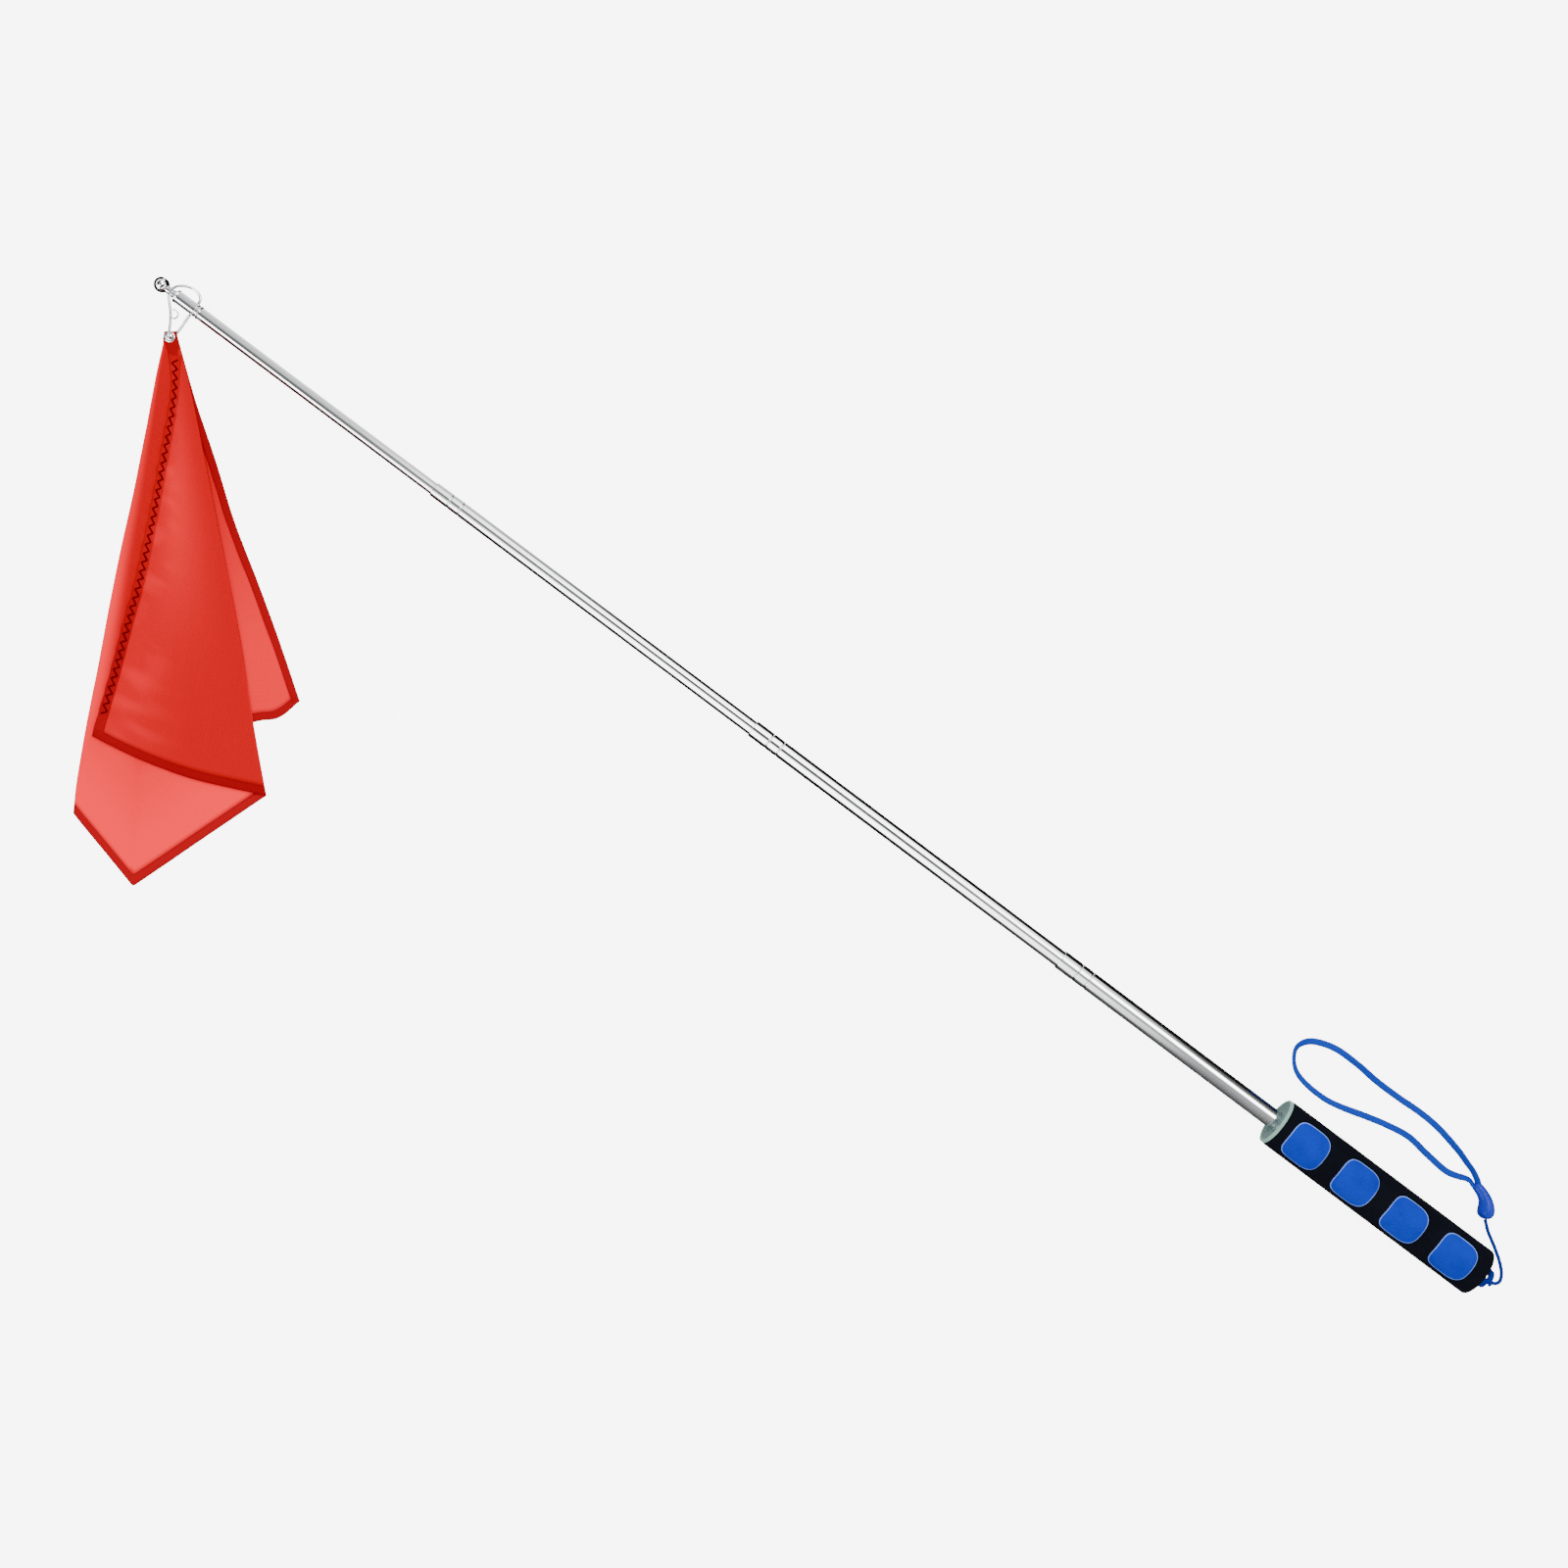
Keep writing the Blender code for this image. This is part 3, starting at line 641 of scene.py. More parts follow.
for end, place in pad_places():
    pad_bm = pad_block(PAD_HALF, PAD_FLOOR + POCKET_GAP, PAD_TOP, place, steps=30, crown=PAD_CROWN)
    foam_pad = finished(f"foam_pad_{end}", pad_bm)
    eased(foam_pad, 0.3 * MM)
    foam_pad.data.materials.append(pad_look)
    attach(foam_pad, "grip")
    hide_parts(f"grip_pad_{end}")


# ---------------------------------------------------------------- grip front ring
# Pale teal moulded ring, pressed on the tube against the foam's front end. Its face is dished
# a little between the bore and a paler rolled rim.

RING_START = 150.0 * MM
RING_END = 152.0 * MM
RING_RADIUS = 15.2 * MM
RING_DISH = 0.6 * MM
RING_TEAL = (0.085, 0.150, 0.145)
RING_PALE = (0.19, 0.35, 0.28)
RING_DEEP = (0.05, 0.095, 0.095)

ring_profile = [
    (RING_START, GRIP_BORE),
    (RING_START, RING_RADIUS),
    *arc((RING_END - 0.8 * MM, RING_RADIUS - 0.8 * MM), 0.8 * MM, 90, -20, 6),
    (RING_END - RING_DISH, RING_RADIUS - 2.2 * MM),
    (RING_END - RING_DISH, GRIP_BORE + 2.0 * MM),
    (RING_END - 0.2 * MM, GRIP_BORE + 1.0 * MM),
    (RING_END - 0.2 * MM, GRIP_BORE),
]
front_ring = turned("front_ring", ring_profile, pole, sides=120)
ring_look, tree, shader = principled("teal_plastic", RING_TEAL, 0.5, Specular_IOR_Level=0.2)
mould = effect(tree, grain, Cells=700.0, Patches=150.0, Roughing=0.6)
from_axis = tree.nodes.new("ShaderNodeTexCoord")
ring_middle = put(tree, "Mapping")
ring_middle.inputs["Location"].default_value = -(pole @ Vector((RING_END, 0, 0)))
tree.links.new(from_axis.outputs["Object"], ring_middle.inputs["Vector"])
distance = tree.nodes.new("ShaderNodeVectorMath")
distance.operation = "LENGTH"
tree.links.new(ring_middle.outputs["Vector"], distance.inputs[0])
rim = put(tree, "MapRange", From_Min=RING_RADIUS - 2.4 * MM, From_Max=RING_RADIUS - 0.6 * MM)
tree.links.new(distance.outputs["Value"], rim.inputs["Value"])
mottled = blended(tree, mould.outputs["Shade"], RING_DEEP, RING_TEAL)
tree.links.new(blended(tree, rim.outputs["Result"], mottled, RING_PALE), shader.inputs["Base Color"])
bumped(tree, shader, mould.outputs["Height"], 0.03 * MM)
front_ring.data.materials.append(ring_look)
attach(front_ring, "grip")
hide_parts("grip_front_ring")


# ---------------------------------------------------------------- butt plug and cap
# Black moulded plug in the foot of the first tube, and behind it a small bright domed cap. The lanyard
# cord comes out through the middle of both.

PLUG_RADIUS = 5.4 * MM
PLUG_DEPTH = 24.0 * MM
PLUG_FLANGE_RADIUS = 7.6 * MM
PLUG_BACK = -2.3 * MM
PLUG_FRONT = -0.3 * MM
CORD_HOLE = 1.2 * MM
CAP_BASE = -2.6 * MM
CAP_SHOULDER = -4.1 * MM
CAP_END = -8.6 * MM
CAP_RADIUS = 5.2 * MM
CAP_FLAT = 2.4 * MM

plug_profile = [
    (PLUG_DEPTH, CORD_HOLE),
    (PLUG_DEPTH, PLUG_RADIUS - 0.6 * MM),
    (PLUG_DEPTH - 0.8 * MM, PLUG_RADIUS),
    (PLUG_FRONT, PLUG_RADIUS),
    (PLUG_FRONT, PLUG_FLANGE_RADIUS),
    *arc((PLUG_BACK + 0.6 * MM, PLUG_FLANGE_RADIUS - 0.6 * MM), 0.6 * MM, 90, 180, 5),
    (PLUG_BACK, CORD_HOLE),
]
end_plug = turned("end_plug", plug_profile, pole)
plug_look, tree, shader = principled("black_plastic", (0.006, 0.006, 0.007), 0.45, Specular_IOR_Level=0.15)
mould = effect(tree, grain, Cells=1400.0, Patches=100.0, Roughing=0.5)
tree.links.new(
    blended(tree, mould.outputs["Shade"], (0.004, 0.004, 0.005), (0.010, 0.010, 0.012)),
    shader.inputs["Base Color"],
)
bumped(tree, shader, mould.outputs["Height"], 0.02 * MM)
end_plug.data.materials.append(plug_look)
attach(end_plug, "grip")
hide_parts("butt_plug")

dome = []
for x, radius in arc((0, 0), 1, 90, 150, 12):
    dome.append((CAP_SHOULDER + x * (CAP_SHOULDER - CAP_END), radius * CAP_RADIUS))
cap_profile = [
    (CAP_BASE, CORD_HOLE),
    (CAP_BASE, CAP_RADIUS - 0.2 * MM),
    (CAP_BASE - 0.2 * MM, CAP_RADIUS),
    (CAP_BASE - 0.7 * MM, CAP_RADIUS),
    (CAP_BASE - 0.85 * MM, CAP_RADIUS - 0.25 * MM),
    (CAP_BASE - 1.05 * MM, CAP_RADIUS - 0.25 * MM),
    (CAP_BASE - 1.2 * MM, CAP_RADIUS),
    *dome,
    (CAP_END, CAP_FLAT),
    (CAP_END, CORD_HOLE + 0.3 * MM),
    (CAP_END + 0.3 * MM, CORD_HOLE),
]
end_cap = turned("end_cap", cap_profile, pole)


def build_handling():
    """Faint smears and fine scuffs that change how sharply bright metal reflects."""
    tree, given, result = new_effect("handling", [("Smears", 30.0), ("Scuffs", 900.0)], ["Smear", "Scuff"])
    place = tree.nodes.new("ShaderNodeTexCoord")
    stretched = put(tree, "Mapping", Scale=(0.25, 1, 1))
    tree.links.new(place.outputs["Object"], stretched.inputs["Vector"])
    smear = put(tree, "TexNoise", Detail=3, Roughness=0.55)
    scuff = put(tree, "TexNoise", Detail=5, Roughness=0.7)
    tree.links.new(stretched.outputs["Vector"], smear.inputs["Vector"])
    tree.links.new(place.outputs["Object"], scuff.inputs["Vector"])
    tree.links.new(given.outputs["Smears"], smear.inputs["Scale"])
    tree.links.new(given.outputs["Scuffs"], scuff.inputs["Scale"])
    tree.links.new(smear.outputs["Fac"], result.inputs["Smear"])
    tree.links.new(scuff.outputs["Fac"], result.inputs["Scuff"])
    return tree


handling = build_handling()


def bright_metal(name, colour, smooth, smeared, scuff_depth):
    """Polished metal whose roughness runs from smooth to smeared."""
    look, tree, shader = principled(name, colour, smooth, Metallic=1.0)
    touched = effect(tree, handling, Smears=35.0, Scuffs=700.0)
    roughness = put(tree, "MapRange", From_Min=0.35, From_Max=0.7, To_Min=smooth, To_Max=smeared)
    tree.links.new(touched.outputs["Smear"], roughness.inputs["Value"])
    tree.links.new(roughness.outputs["Result"], shader.inputs["Roughness"])
    dulled = tuple(0.9 * c for c in colour)
    tree.links.new(blended(tree, touched.outputs["Scuff"], colour, dulled), shader.inputs["Base Color"])
    bumped(tree, shader, touched.outputs["Scuff"], scuff_depth)
    return look


chrome_look = bright_metal("chrome", (0.86, 0.87, 0.89), 0.04, 0.10, 0.002 * MM)
end_cap.data.materials.append(chrome_look)
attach(end_cap, "grip")
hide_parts("butt_cap")


# ---------------------------------------------------------------- cord hitch
# The lanyard cord is hitched round the butt cap before it leaves: two snug turns and a crossing strand
# that lies over them, all one piece of the same braided cord.

HITCH_RADIUS = 6.1 * MM
HITCH_CORD = 0.95 * MM
HITCH_FROM = -3.7 * MM
HITCH_STEP = 2.0 * MM
HITCH_TURNS = 2

hitch_points = []
for i in range(HITCH_TURNS * 24 + 1):
    share = i / 24
    angle = 2 * math.pi * share
    x = HITCH_FROM - HITCH_STEP * share * 0.9
    reach = HITCH_RADIUS - 0.5 * MM * share
    hitch_points.append(pole @ Vector((x, reach * math.sin(angle), reach * math.cos(angle))))
CROSSING = [(-8.2, 2.0, 4.6), (-9.4, 1.0, 2.4), (-9.9, 0.2, 0.4), (-9.4, -1.4, -1.2), (-8.0, -3.4, -2.6)]
for x, y, z in CROSSING:
    hitch_points.append(pole @ (Vector((x, y, z)) * MM))
cord_hitch = swept("cord_hitch", round_outline(HITCH_CORD, 12), wire_places(smooth_route(hitch_points, 150)))
cord_hitch.data.materials.append(cord_look)
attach(cord_hitch, "grip")


# ---------------------------------------------------------------- telescopic tubes
# Four drawn stainless tubes, each sliding in the one behind. Near its mouth each outer tube is rolled in
# at two grooves, which leave a bead and a collar, and its lip is turned in to guide the next tube.
# The foot of each inner tube is necked down for its friction sleeve.

TUBE_RADII = [6.0 * MM, 5.3 * MM, 4.6 * MM, 3.9 * MM]
WALL = 0.4 * MM
MOUTHS = [313.5 * MM, 545.8 * MM, 787.6 * MM]
HUB_START = 965.8 * MM
COLLAR = 12.0 * MM
BEAD = 6.7 * MM
GROOVE = 1.4 * MM
GROOVE_DEPTH = 0.26 * MM
GUIDE_GAP = 0.1 * MM
SLEEVE_LENGTH = 8.0 * MM
FOOT_LIP = 1.2 * MM
TOUCH_GAP = 0.3 * MM
NECKED = 0.5 * MM
FOOT_WALL = 0.9 * MM


def rolled_groove(back, front, radius):
    """A shallow round-bottomed groove, as a roller leaves it."""
    points = []
    for i in range(9):
        share = i / 8
        depth = GROOVE_DEPTH * math.sin(math.pi * share) ** 0.7
        points.append((back + (front - back) * share, radius - depth))
    return points


def tube_profile(index, start, mouth):
    radius = TUBE_RADII[index]
    bore = radius - WALL
    if index:
        neck_end = start + FOOT_LIP + SLEEVE_LENGTH + 2 * TOUCH_GAP
        outer = [
            (start, radius - FOOT_WALL),
            (start, radius),
            (start + FOOT_LIP, radius),
            (start + FOOT_LIP, radius - NECKED),
            (neck_end, radius - NECKED),
            (neck_end + WALL, radius),
        ]
        inner = [(neck_end + WALL, radius - FOOT_WALL), (neck_end + 2 * WALL, bore)]
    else:
        outer = [(start, bore), (start, radius)]
        inner = []
    if index < len(MOUTHS):
        collar_back = mouth - COLLAR
        bead_back = collar_back - GROOVE - BEAD
        for groove_front in (bead_back, collar_back):
            outer += rolled_groove(groove_front - GROOVE, groove_front, radius)
        lip = 0.3 * MM
        lip_bore = TUBE_RADII[index + 1] + GUIDE_GAP
        outer += [*arc((mouth - lip, radius - lip), lip, 90, 0, 5), (mouth, lip_bore)]
        inner += [(bead_back - 2 * GROOVE, bore), (bead_back - GROOVE, lip_bore)]
    else:
        outer += [(mouth, radius), (mouth, bore)]
    return outer + inner[::-1]


def foot_of(index):
    """Where an inner tube's foot stands when it is drawn right out of the tube around it."""
    stop = MOUTHS[index - 1] - COLLAR - BEAD - 3 * GROOVE
    return stop - 2 * TOUCH_GAP - SLEEVE_LENGTH - FOOT_LIP


steel_look = bright_metal("polished_steel", (0.80, 0.81, 0.83), 0.07, 0.15, 0.003 * MM)
tube_starts = [3.0 * MM, foot_of(1), foot_of(2), foot_of(3)]
tube_ends = MOUTHS + [HUB_START - TOUCH_GAP]
tube_bodies = ["grip", "section_2", "section_3", "section_4"]
for i, (start, end, body) in enumerate(zip(tube_starts, tube_ends, tube_bodies)):
    drawn_tube = turned(f"drawn_tube_{i + 1}", tube_profile(i, start, end), pole)
    drawn_tube.data.materials.append(steel_look)
    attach(drawn_tube, body)
    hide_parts(f"section_{i + 1}_tube")


# ---------------------------------------------------------------- friction sleeves
# Thin brass rings on the necked foot of each inner tube. They spring against the tube around them, which
# gives the drag that holds the pole at any length. They stay as the CAD makes them, inside the tubes.

brass_look = bright_metal("brass", (0.78, 0.58, 0.25), 0.18, 0.32, 0.006 * MM)
for i in (2, 3, 4):
    sleeve_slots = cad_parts[f"friction_sleeve_{i}"].material_slots
    sleeve_slots[0].material = brass_look


# ---------------------------------------------------------------- tip
# Turned steel hub pressed into the thinnest tube, with two rings and a flange and a cross hole for the wire.
# A plated neck screws into it and carries the ball that ends the pole.

HUB_RADIUS = 3.9 * MM
HUB_RING = 4.3 * MM
HUB_RING_2 = 4.1 * MM
HUB_WAIST = 3.4 * MM
HUB_END = 984.3 * MM
HUB_SPIGOT = 12.0 * MM
SPIGOT_RADIUS = 3.4 * MM
CROSS_HOLE_AT = 970.5 * MM
CROSS_HOLE = 1.0 * MM
NECK_RADIUS = 2.5 * MM
STEM_RADIUS = 1.4 * MM
STEM_DEPTH = 7.0 * MM
SOCKET = 1.5 * MM
BALL_RADIUS = 4.75 * MM
BALL_CENTRE = 995.4 * MM

hub_profile = [
    (HUB_START - HUB_SPIGOT, 0),
    (HUB_START - HUB_SPIGOT, SPIGOT_RADIUS),
    (HUB_START, SPIGOT_RADIUS),
    (HUB_START, HUB_RADIUS),
    *arc((HUB_START + 0.8 * MM, HUB_RING - 0.5 * MM), 0.5 * MM, 150, 30, 6),
    (HUB_START + 1.6 * MM, HUB_WAIST),
    (HUB_START + 2.4 * MM, HUB_WAIST),
    *arc((HUB_START + 2.95 * MM, HUB_RING_2 - 0.35 * MM), 0.35 * MM, 150, 30, 5),
    (HUB_START + 3.4 * MM, HUB_RADIUS),
    (HUB_END - 1.6 * MM, HUB_RADIUS),
    *arc((HUB_END - 0.6 * MM, HUB_RING - 0.55 * MM), 0.55 * MM, 150, 20, 6),
    (HUB_END, HUB_RING - 0.9 * MM),
    (HUB_END, SOCKET),
    (HUB_END - STEM_DEPTH - TOUCH_GAP, SOCKET),
    (HUB_END - STEM_DEPTH - TOUCH_GAP, 0),
]
turned_hub = turned("turned_hub", hub_profile, pole)
drill = bmesh.new()
across = pole @ Matrix.Translation((CROSS_HOLE_AT, 0, 0)) @ Matrix.Rotation(math.pi / 2, 4, "X")
bmesh.ops.create_cone(
    drill,
    cap_ends=True,
    segments=32,
    radius1=CROSS_HOLE,
    radius2=CROSS_HOLE,
    depth=4 * HUB_RADIUS,
    matrix=across,
)
drill_cutter = finished("drill_cutter", drill)
cross_hole = turned_hub.modifiers.new("cross_hole", "BOOLEAN")
cross_hole.operation = "DIFFERENCE"
cross_hole.object = drill_cutter
bpy.context.view_layer.update()
drilled = bpy.data.meshes.new_from_object(turned_hub.evaluated_get(bpy.context.evaluated_depsgraph_get()))
turned_hub.modifiers.clear()
turned_hub.data = drilled
turned_hub.data.shade_smooth()
turned_hub.data.set_sharp_from_angle(angle=math.radians(35))
bpy.data.objects.remove(drill_cutter)
turned_hub.data.materials.clear()
turned_hub.data.materials.append(steel_look)
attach(turned_hub, "section_4")
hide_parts("tip_hub")

ball_back = BALL_CENTRE - math.sqrt(BALL_RADIUS**2 - NECK_RADIUS**2)
neck_front = ball_back - TOUCH_GAP
neck_profile = [
    (HUB_END - STEM_DEPTH, 0),
    (HUB_END - STEM_DEPTH, STEM_RADIUS),
    (HUB_END + TOUCH_GAP, STEM_RADIUS),
    (HUB_END + TOUCH_GAP, NECK_RADIUS - 0.3 * MM),
    (HUB_END + TOUCH_GAP + 0.3 * MM, NECK_RADIUS),
    (HUB_END + 1.6 * MM, NECK_RADIUS),
    *arc((HUB_END + 3.2 * MM, NECK_RADIUS + 0.6 * MM), 1.2 * MM, -150, -30, 8),
    (neck_front - 0.3 * MM, NECK_RADIUS),
    (neck_front, NECK_RADIUS - 0.3 * MM),
    (neck_front, STEM_RADIUS),
    (BALL_CENTRE, STEM_RADIUS),
    (BALL_CENTRE, 0),
]
ball_neck = turned("ball_neck", neck_profile, pole)
mouth_angle = 180 - math.degrees(math.asin(NECK_RADIUS / BALL_RADIUS))
shell = arc((BALL_CENTRE, 0), BALL_RADIUS, mouth_angle, 0, 40)
shell[-1] = (BALL_CENTRE + BALL_RADIUS, 0)
bored = [(BALL_CENTRE + TOUCH_GAP, 0), (BALL_CENTRE + TOUCH_GAP, SOCKET), (shell[0][0], SOCKET)]
tip_ball = turned("tip_ball", bored + shell, pole)
for piece, node in ((ball_neck, "finial_neck"), (tip_ball, "finial_ball")):
    piece.data.materials.append(chrome_look)
    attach(piece, "section_4")
    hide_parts(node)


# ---------------------------------------------------------------- wire clip
# One bent spring wire, plated: it passes through the hub's cross hole, goes down through the eyelet and
# comes back over the neck, where a small hooked end snaps on to it.

WIRE_RADIUS = 0.85 * MM
CLIP_ROUTE = [
    (0, -4.6, 0),
    (0, 0, 0),
    (0, 4.6, 0),
    (0.4, 9.0, -1.2),
    (0.8, 13.5, -2.9),
    (1.3, 17.5, -3.95),
    (1.9, 20.7, -4.2),
    (2.35, 22.6, -3.6),
    (2.4, 23.0, -1.8),
    (2.6, 22.6, -0.1),
    (3.3, 20.8, 0.9),
    (5.0, 17.5, 1.3),
    (8.6, 11.5, 2.0),
    (12.8, 6.4, 3.1),
    (15.9, 2.6, 3.6),
    (16.6, -1.4, 3.6),
    (15.4, -4.8, 3.2),
    (12.0, -7.8, 2.2),
    (7.6, -9.4, 1.1),
    (3.4, -9.0, 0.4),
    (0.9, -7.2, 0.05),
]
hole_centre = pole @ Vector((CROSS_HOLE_AT, 0, 0))
clip_route = smooth_route([hole_centre + Vector(p) * MM for p in CLIP_ROUTE], 220, closed=True)
clip_places = wire_places(clip_route, closed=True)
snap_wire = swept("snap_wire", round_outline(WIRE_RADIUS, 16), clip_places, closed=True)

# The hooked end: a short wire that leaves the front leg and curls back on itself
HOOK_ROUTE = [
    (8.0, 12.2, 2.9),
    (6.6, 12.6, 3.2),
    (4.9, 11.6, 3.2),
    (4.4, 9.6, 3.1),
    (5.4, 7.9, 3.1),
    (7.4, 7.4, 3.2),
    (9.2, 8.2, 3.4),
]
hook_route = smooth_route([hole_centre + Vector(p) * MM for p in HOOK_ROUTE], 48)
hook_places = wire_places(hook_route)
for i, size in ((0, 0.35), (1, 0.8), (-2, 0.8), (-1, 0.35)):
    hook_places[i] = hook_places[i] @ Matrix.Diagonal((size, size, 1, 1))
snap_hook = swept("snap_hook", round_outline(0.5 * MM, 14), hook_places)
for piece in (snap_wire, snap_hook):
    piece.data.materials.append(chrome_look)
    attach(piece, "clip")
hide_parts("clip_ring")


# ---------------------------------------------------------------- eyelet
# Two-part plated brass eyelet: a rolled flange with its barrel through the cloth, and a washer behind
# that the barrel is spread over.

EYELET = Vector((972.8, 22.5, 3.3)) * MM
EYELET_RADIUS = 3.3 * MM
EYELET_BARREL = 2.3 * MM
EYELET_HOLE = 1.8 * MM
EYELET_FACE = 0.6 * MM
EYELET_PLATE = 0.4 * MM
CORNER = Vector((976.1, 16.8, 0)) * MM
FLAG_WAY = Vector((math.cos(math.radians(128)), math.sin(math.radians(128)), 0))
FLAG_ACROSS = Vector((FLAG_WAY.y, -FLAG_WAY.x, 0))
RAISED = 60.0 * MM
RAISED_SLOPE = 0.0528

eyelet_axis = (Vector((0, 0, 1)) + FLAG_WAY * RAISED_SLOPE).normalized()
eyelet_turn = eyelet_axis.to_track_quat("X", "Z").to_matrix().to_4x4()
eyelet_seat = Matrix.Translation(ground @ EYELET) @ eyelet_turn
flange_middle = (EYELET_RADIUS + EYELET_HOLE) / 2
flange_half = (EYELET_RADIUS - EYELET_HOLE) / 2
flange = []
for x, r in arc((0, 0), 1, 180, 0, 10):
    flange.append((EYELET_FACE + EYELET_PLATE * r, flange_middle - x * -flange_half))
eyelet_profile = [
    (-EYELET_FACE, EYELET_HOLE),
    (-EYELET_FACE, EYELET_BARREL),
    (EYELET_FACE, EYELET_BARREL),
    *[(x, r) for x, r in flange[::-1]],
]
rolled_eyelet = turned("rolled_eyelet", eyelet_profile, eyelet_seat, sides=64)
washer_profile = [
    (-EYELET_FACE - GUIDE_GAP, EYELET_HOLE),
    (-EYELET_FACE - GUIDE_GAP - EYELET_PLATE, EYELET_HOLE + 0.2 * MM),
    (-EYELET_FACE - GUIDE_GAP - EYELET_PLATE, EYELET_RADIUS - 0.2 * MM),
    (-EYELET_FACE - GUIDE_GAP, EYELET_RADIUS),
]
back_washer = turned("back_washer", washer_profile, eyelet_seat, sides=64)
for piece, node in ((rolled_eyelet, "flag_eyelet"), (back_washer, "eyelet_washer")):
    piece.data.materials.append(chrome_look)
    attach(piece, "flag")
    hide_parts(node)


# ---------------------------------------------------------------- flag
# A square of thin red nylon, hemmed all round and hung by one corner. Laid down, it lies folded in a Z:
# the front layer from the hoist to the right fold, the middle layer back to the left fold, and the rear
# layer out to the opposite hem. Where fewer layers lie on the pale floor, the cloth is painted paler:
# painted light that stands for the floor's light shining through it.

CLOTH_SIDE = 245.0 * MM
CLOTH_THICKNESS = 0.22 * MM
HEM_WIDTH = 5.0 * MM
FRONT_TURN = math.radians(27)
MIDDLE_TURN = math.radians(54)
CLOTH_RED = (0.46, 0.0, 0.004)
CLOTH_SHADE = (0.38, 0.0, 0.003)
CLOTH_PAINTED_LIGHT = (1.0, 0.016, 0.028)
HEM_PAINTED_SHADE = (0.20, 0.0, 0.003)

# Each line on the laid cloth, as millimetres along the flag from its corner and across it
HOIST = [(1.5, 3.4), (6.5, 4.6), (12, 3.4), (20, 1.6), (39, 1.3), (73, 7.6), (111, 15.2), (152, 24.6),
         (175, 31.4), (209, 41.0), (248.4, 53.0)]
LEFT_FOLD = [(1.5, 3.6), (6.5, 4.9), (11, 5.3), (29, 10.0), (64, 17.8), (100, 25.6), (135, 34.0),
             (171, 41.9), (206, 49.1), (242, 56.9), (277, 63.5), (295.2, 65.6)]
RIGHT_FOLD = [(1.5, -2.6), (6.5, -3.6), (11, -4.4), (35, -10.0), (110, -23.5), (184, -36.9), (241, -44.8),
              (286.8, -52.2)]
REAR_HEM = [(1.5, -2.8), (6.5, -3.9), (11, -4.9), (47, -14.0), (83, -25.2), (119, -35.6), (155, -48.7),
            (191, -61.2), (229.6, -73.5)]
FRONT_END = [(248.4, 53.0), (262.6, 25.8), (275.8, -8.2), (286.8, -52.2)]
MIDDLE_END = [(286.8, -52.2), (340.5, 30.2), (295.2, 65.6)]
REAR_END = [(295.2, 65.6), (268.0, 14.0), (243.5, -40.0), (239.6, -60.0), (229.6, -73.5)]


class Line:
    """A smooth line through laid points, read by its share of length from 0 to 1."""

    def __init__(self, points, cornered=False):
        points = [Vector((x, y, 0)) * MM for x, y in points]
        self.points = points if cornered else smooth_route(points, 200)
        lengths = [(b - a).length for a, b in zip(self.points, self.points[1:])]
        self.total = sum(lengths)
        self.marks = [sum(lengths[:i]) / self.total for i in range(len(self.points))]

    def at(self, share):
        share = min(max(share, 0.0), 1.0)
        low = 0
        high = len(self.marks) - 1
        while high - low > 1:
            half = (low + high) // 2
            if self.marks[half] <= share:
                low = half
            else:
                high = half
        part = (share - self.marks[low]) / (self.marks[high] - self.marks[low])
        return self.points[low].lerp(self.points[high], part)


def layer_point(left, right, far_end, share, reach):
    """A point of one layer, blended from its two sides and its far edge."""
    near = left.at(0).lerp(right.at(0), share)
    sides = left.at(reach).lerp(right.at(reach), share)
    ends = near.lerp(far_end.at(share), reach)
    corners = near.lerp(left.at(1).lerp(right.at(1), share), reach)
    return sides + ends - corners


hoist, left_fold, right_fold, rear_hem = (Line(p) for p in (HOIST, LEFT_FOLD, RIGHT_FOLD, REAR_HEM))
front_end, rear_end = Line(FRONT_END), Line(REAR_END)
middle_end = Line(MIDDLE_END, cornered=True)


def eased_step(value, low, high):
    t = min(1.0, max(0.0, (value - low) / (high - low)))
    return t * t * (3 - 2 * t)


def ripple(along, across):
    """Height of the soft folds that run out from the corner and fade towards it."""
    turn = across / (along + 30 * MM)
    grown = eased_step(along, 20 * MM, 230 * MM)
    waves = 0.5 + 0.5 * math.sin(26 * turn + 9 * along + 0.4)
    fine_waves = 0.5 + 0.5 * math.sin(61 * turn - 14 * along + 1.3)
    soft = noise.noise(Vector((along * 14, across * 30, 3.7)))
    return grown * (1.3 * waves + 0.45 * fine_waves + 0.9 * soft + 0.5) * MM


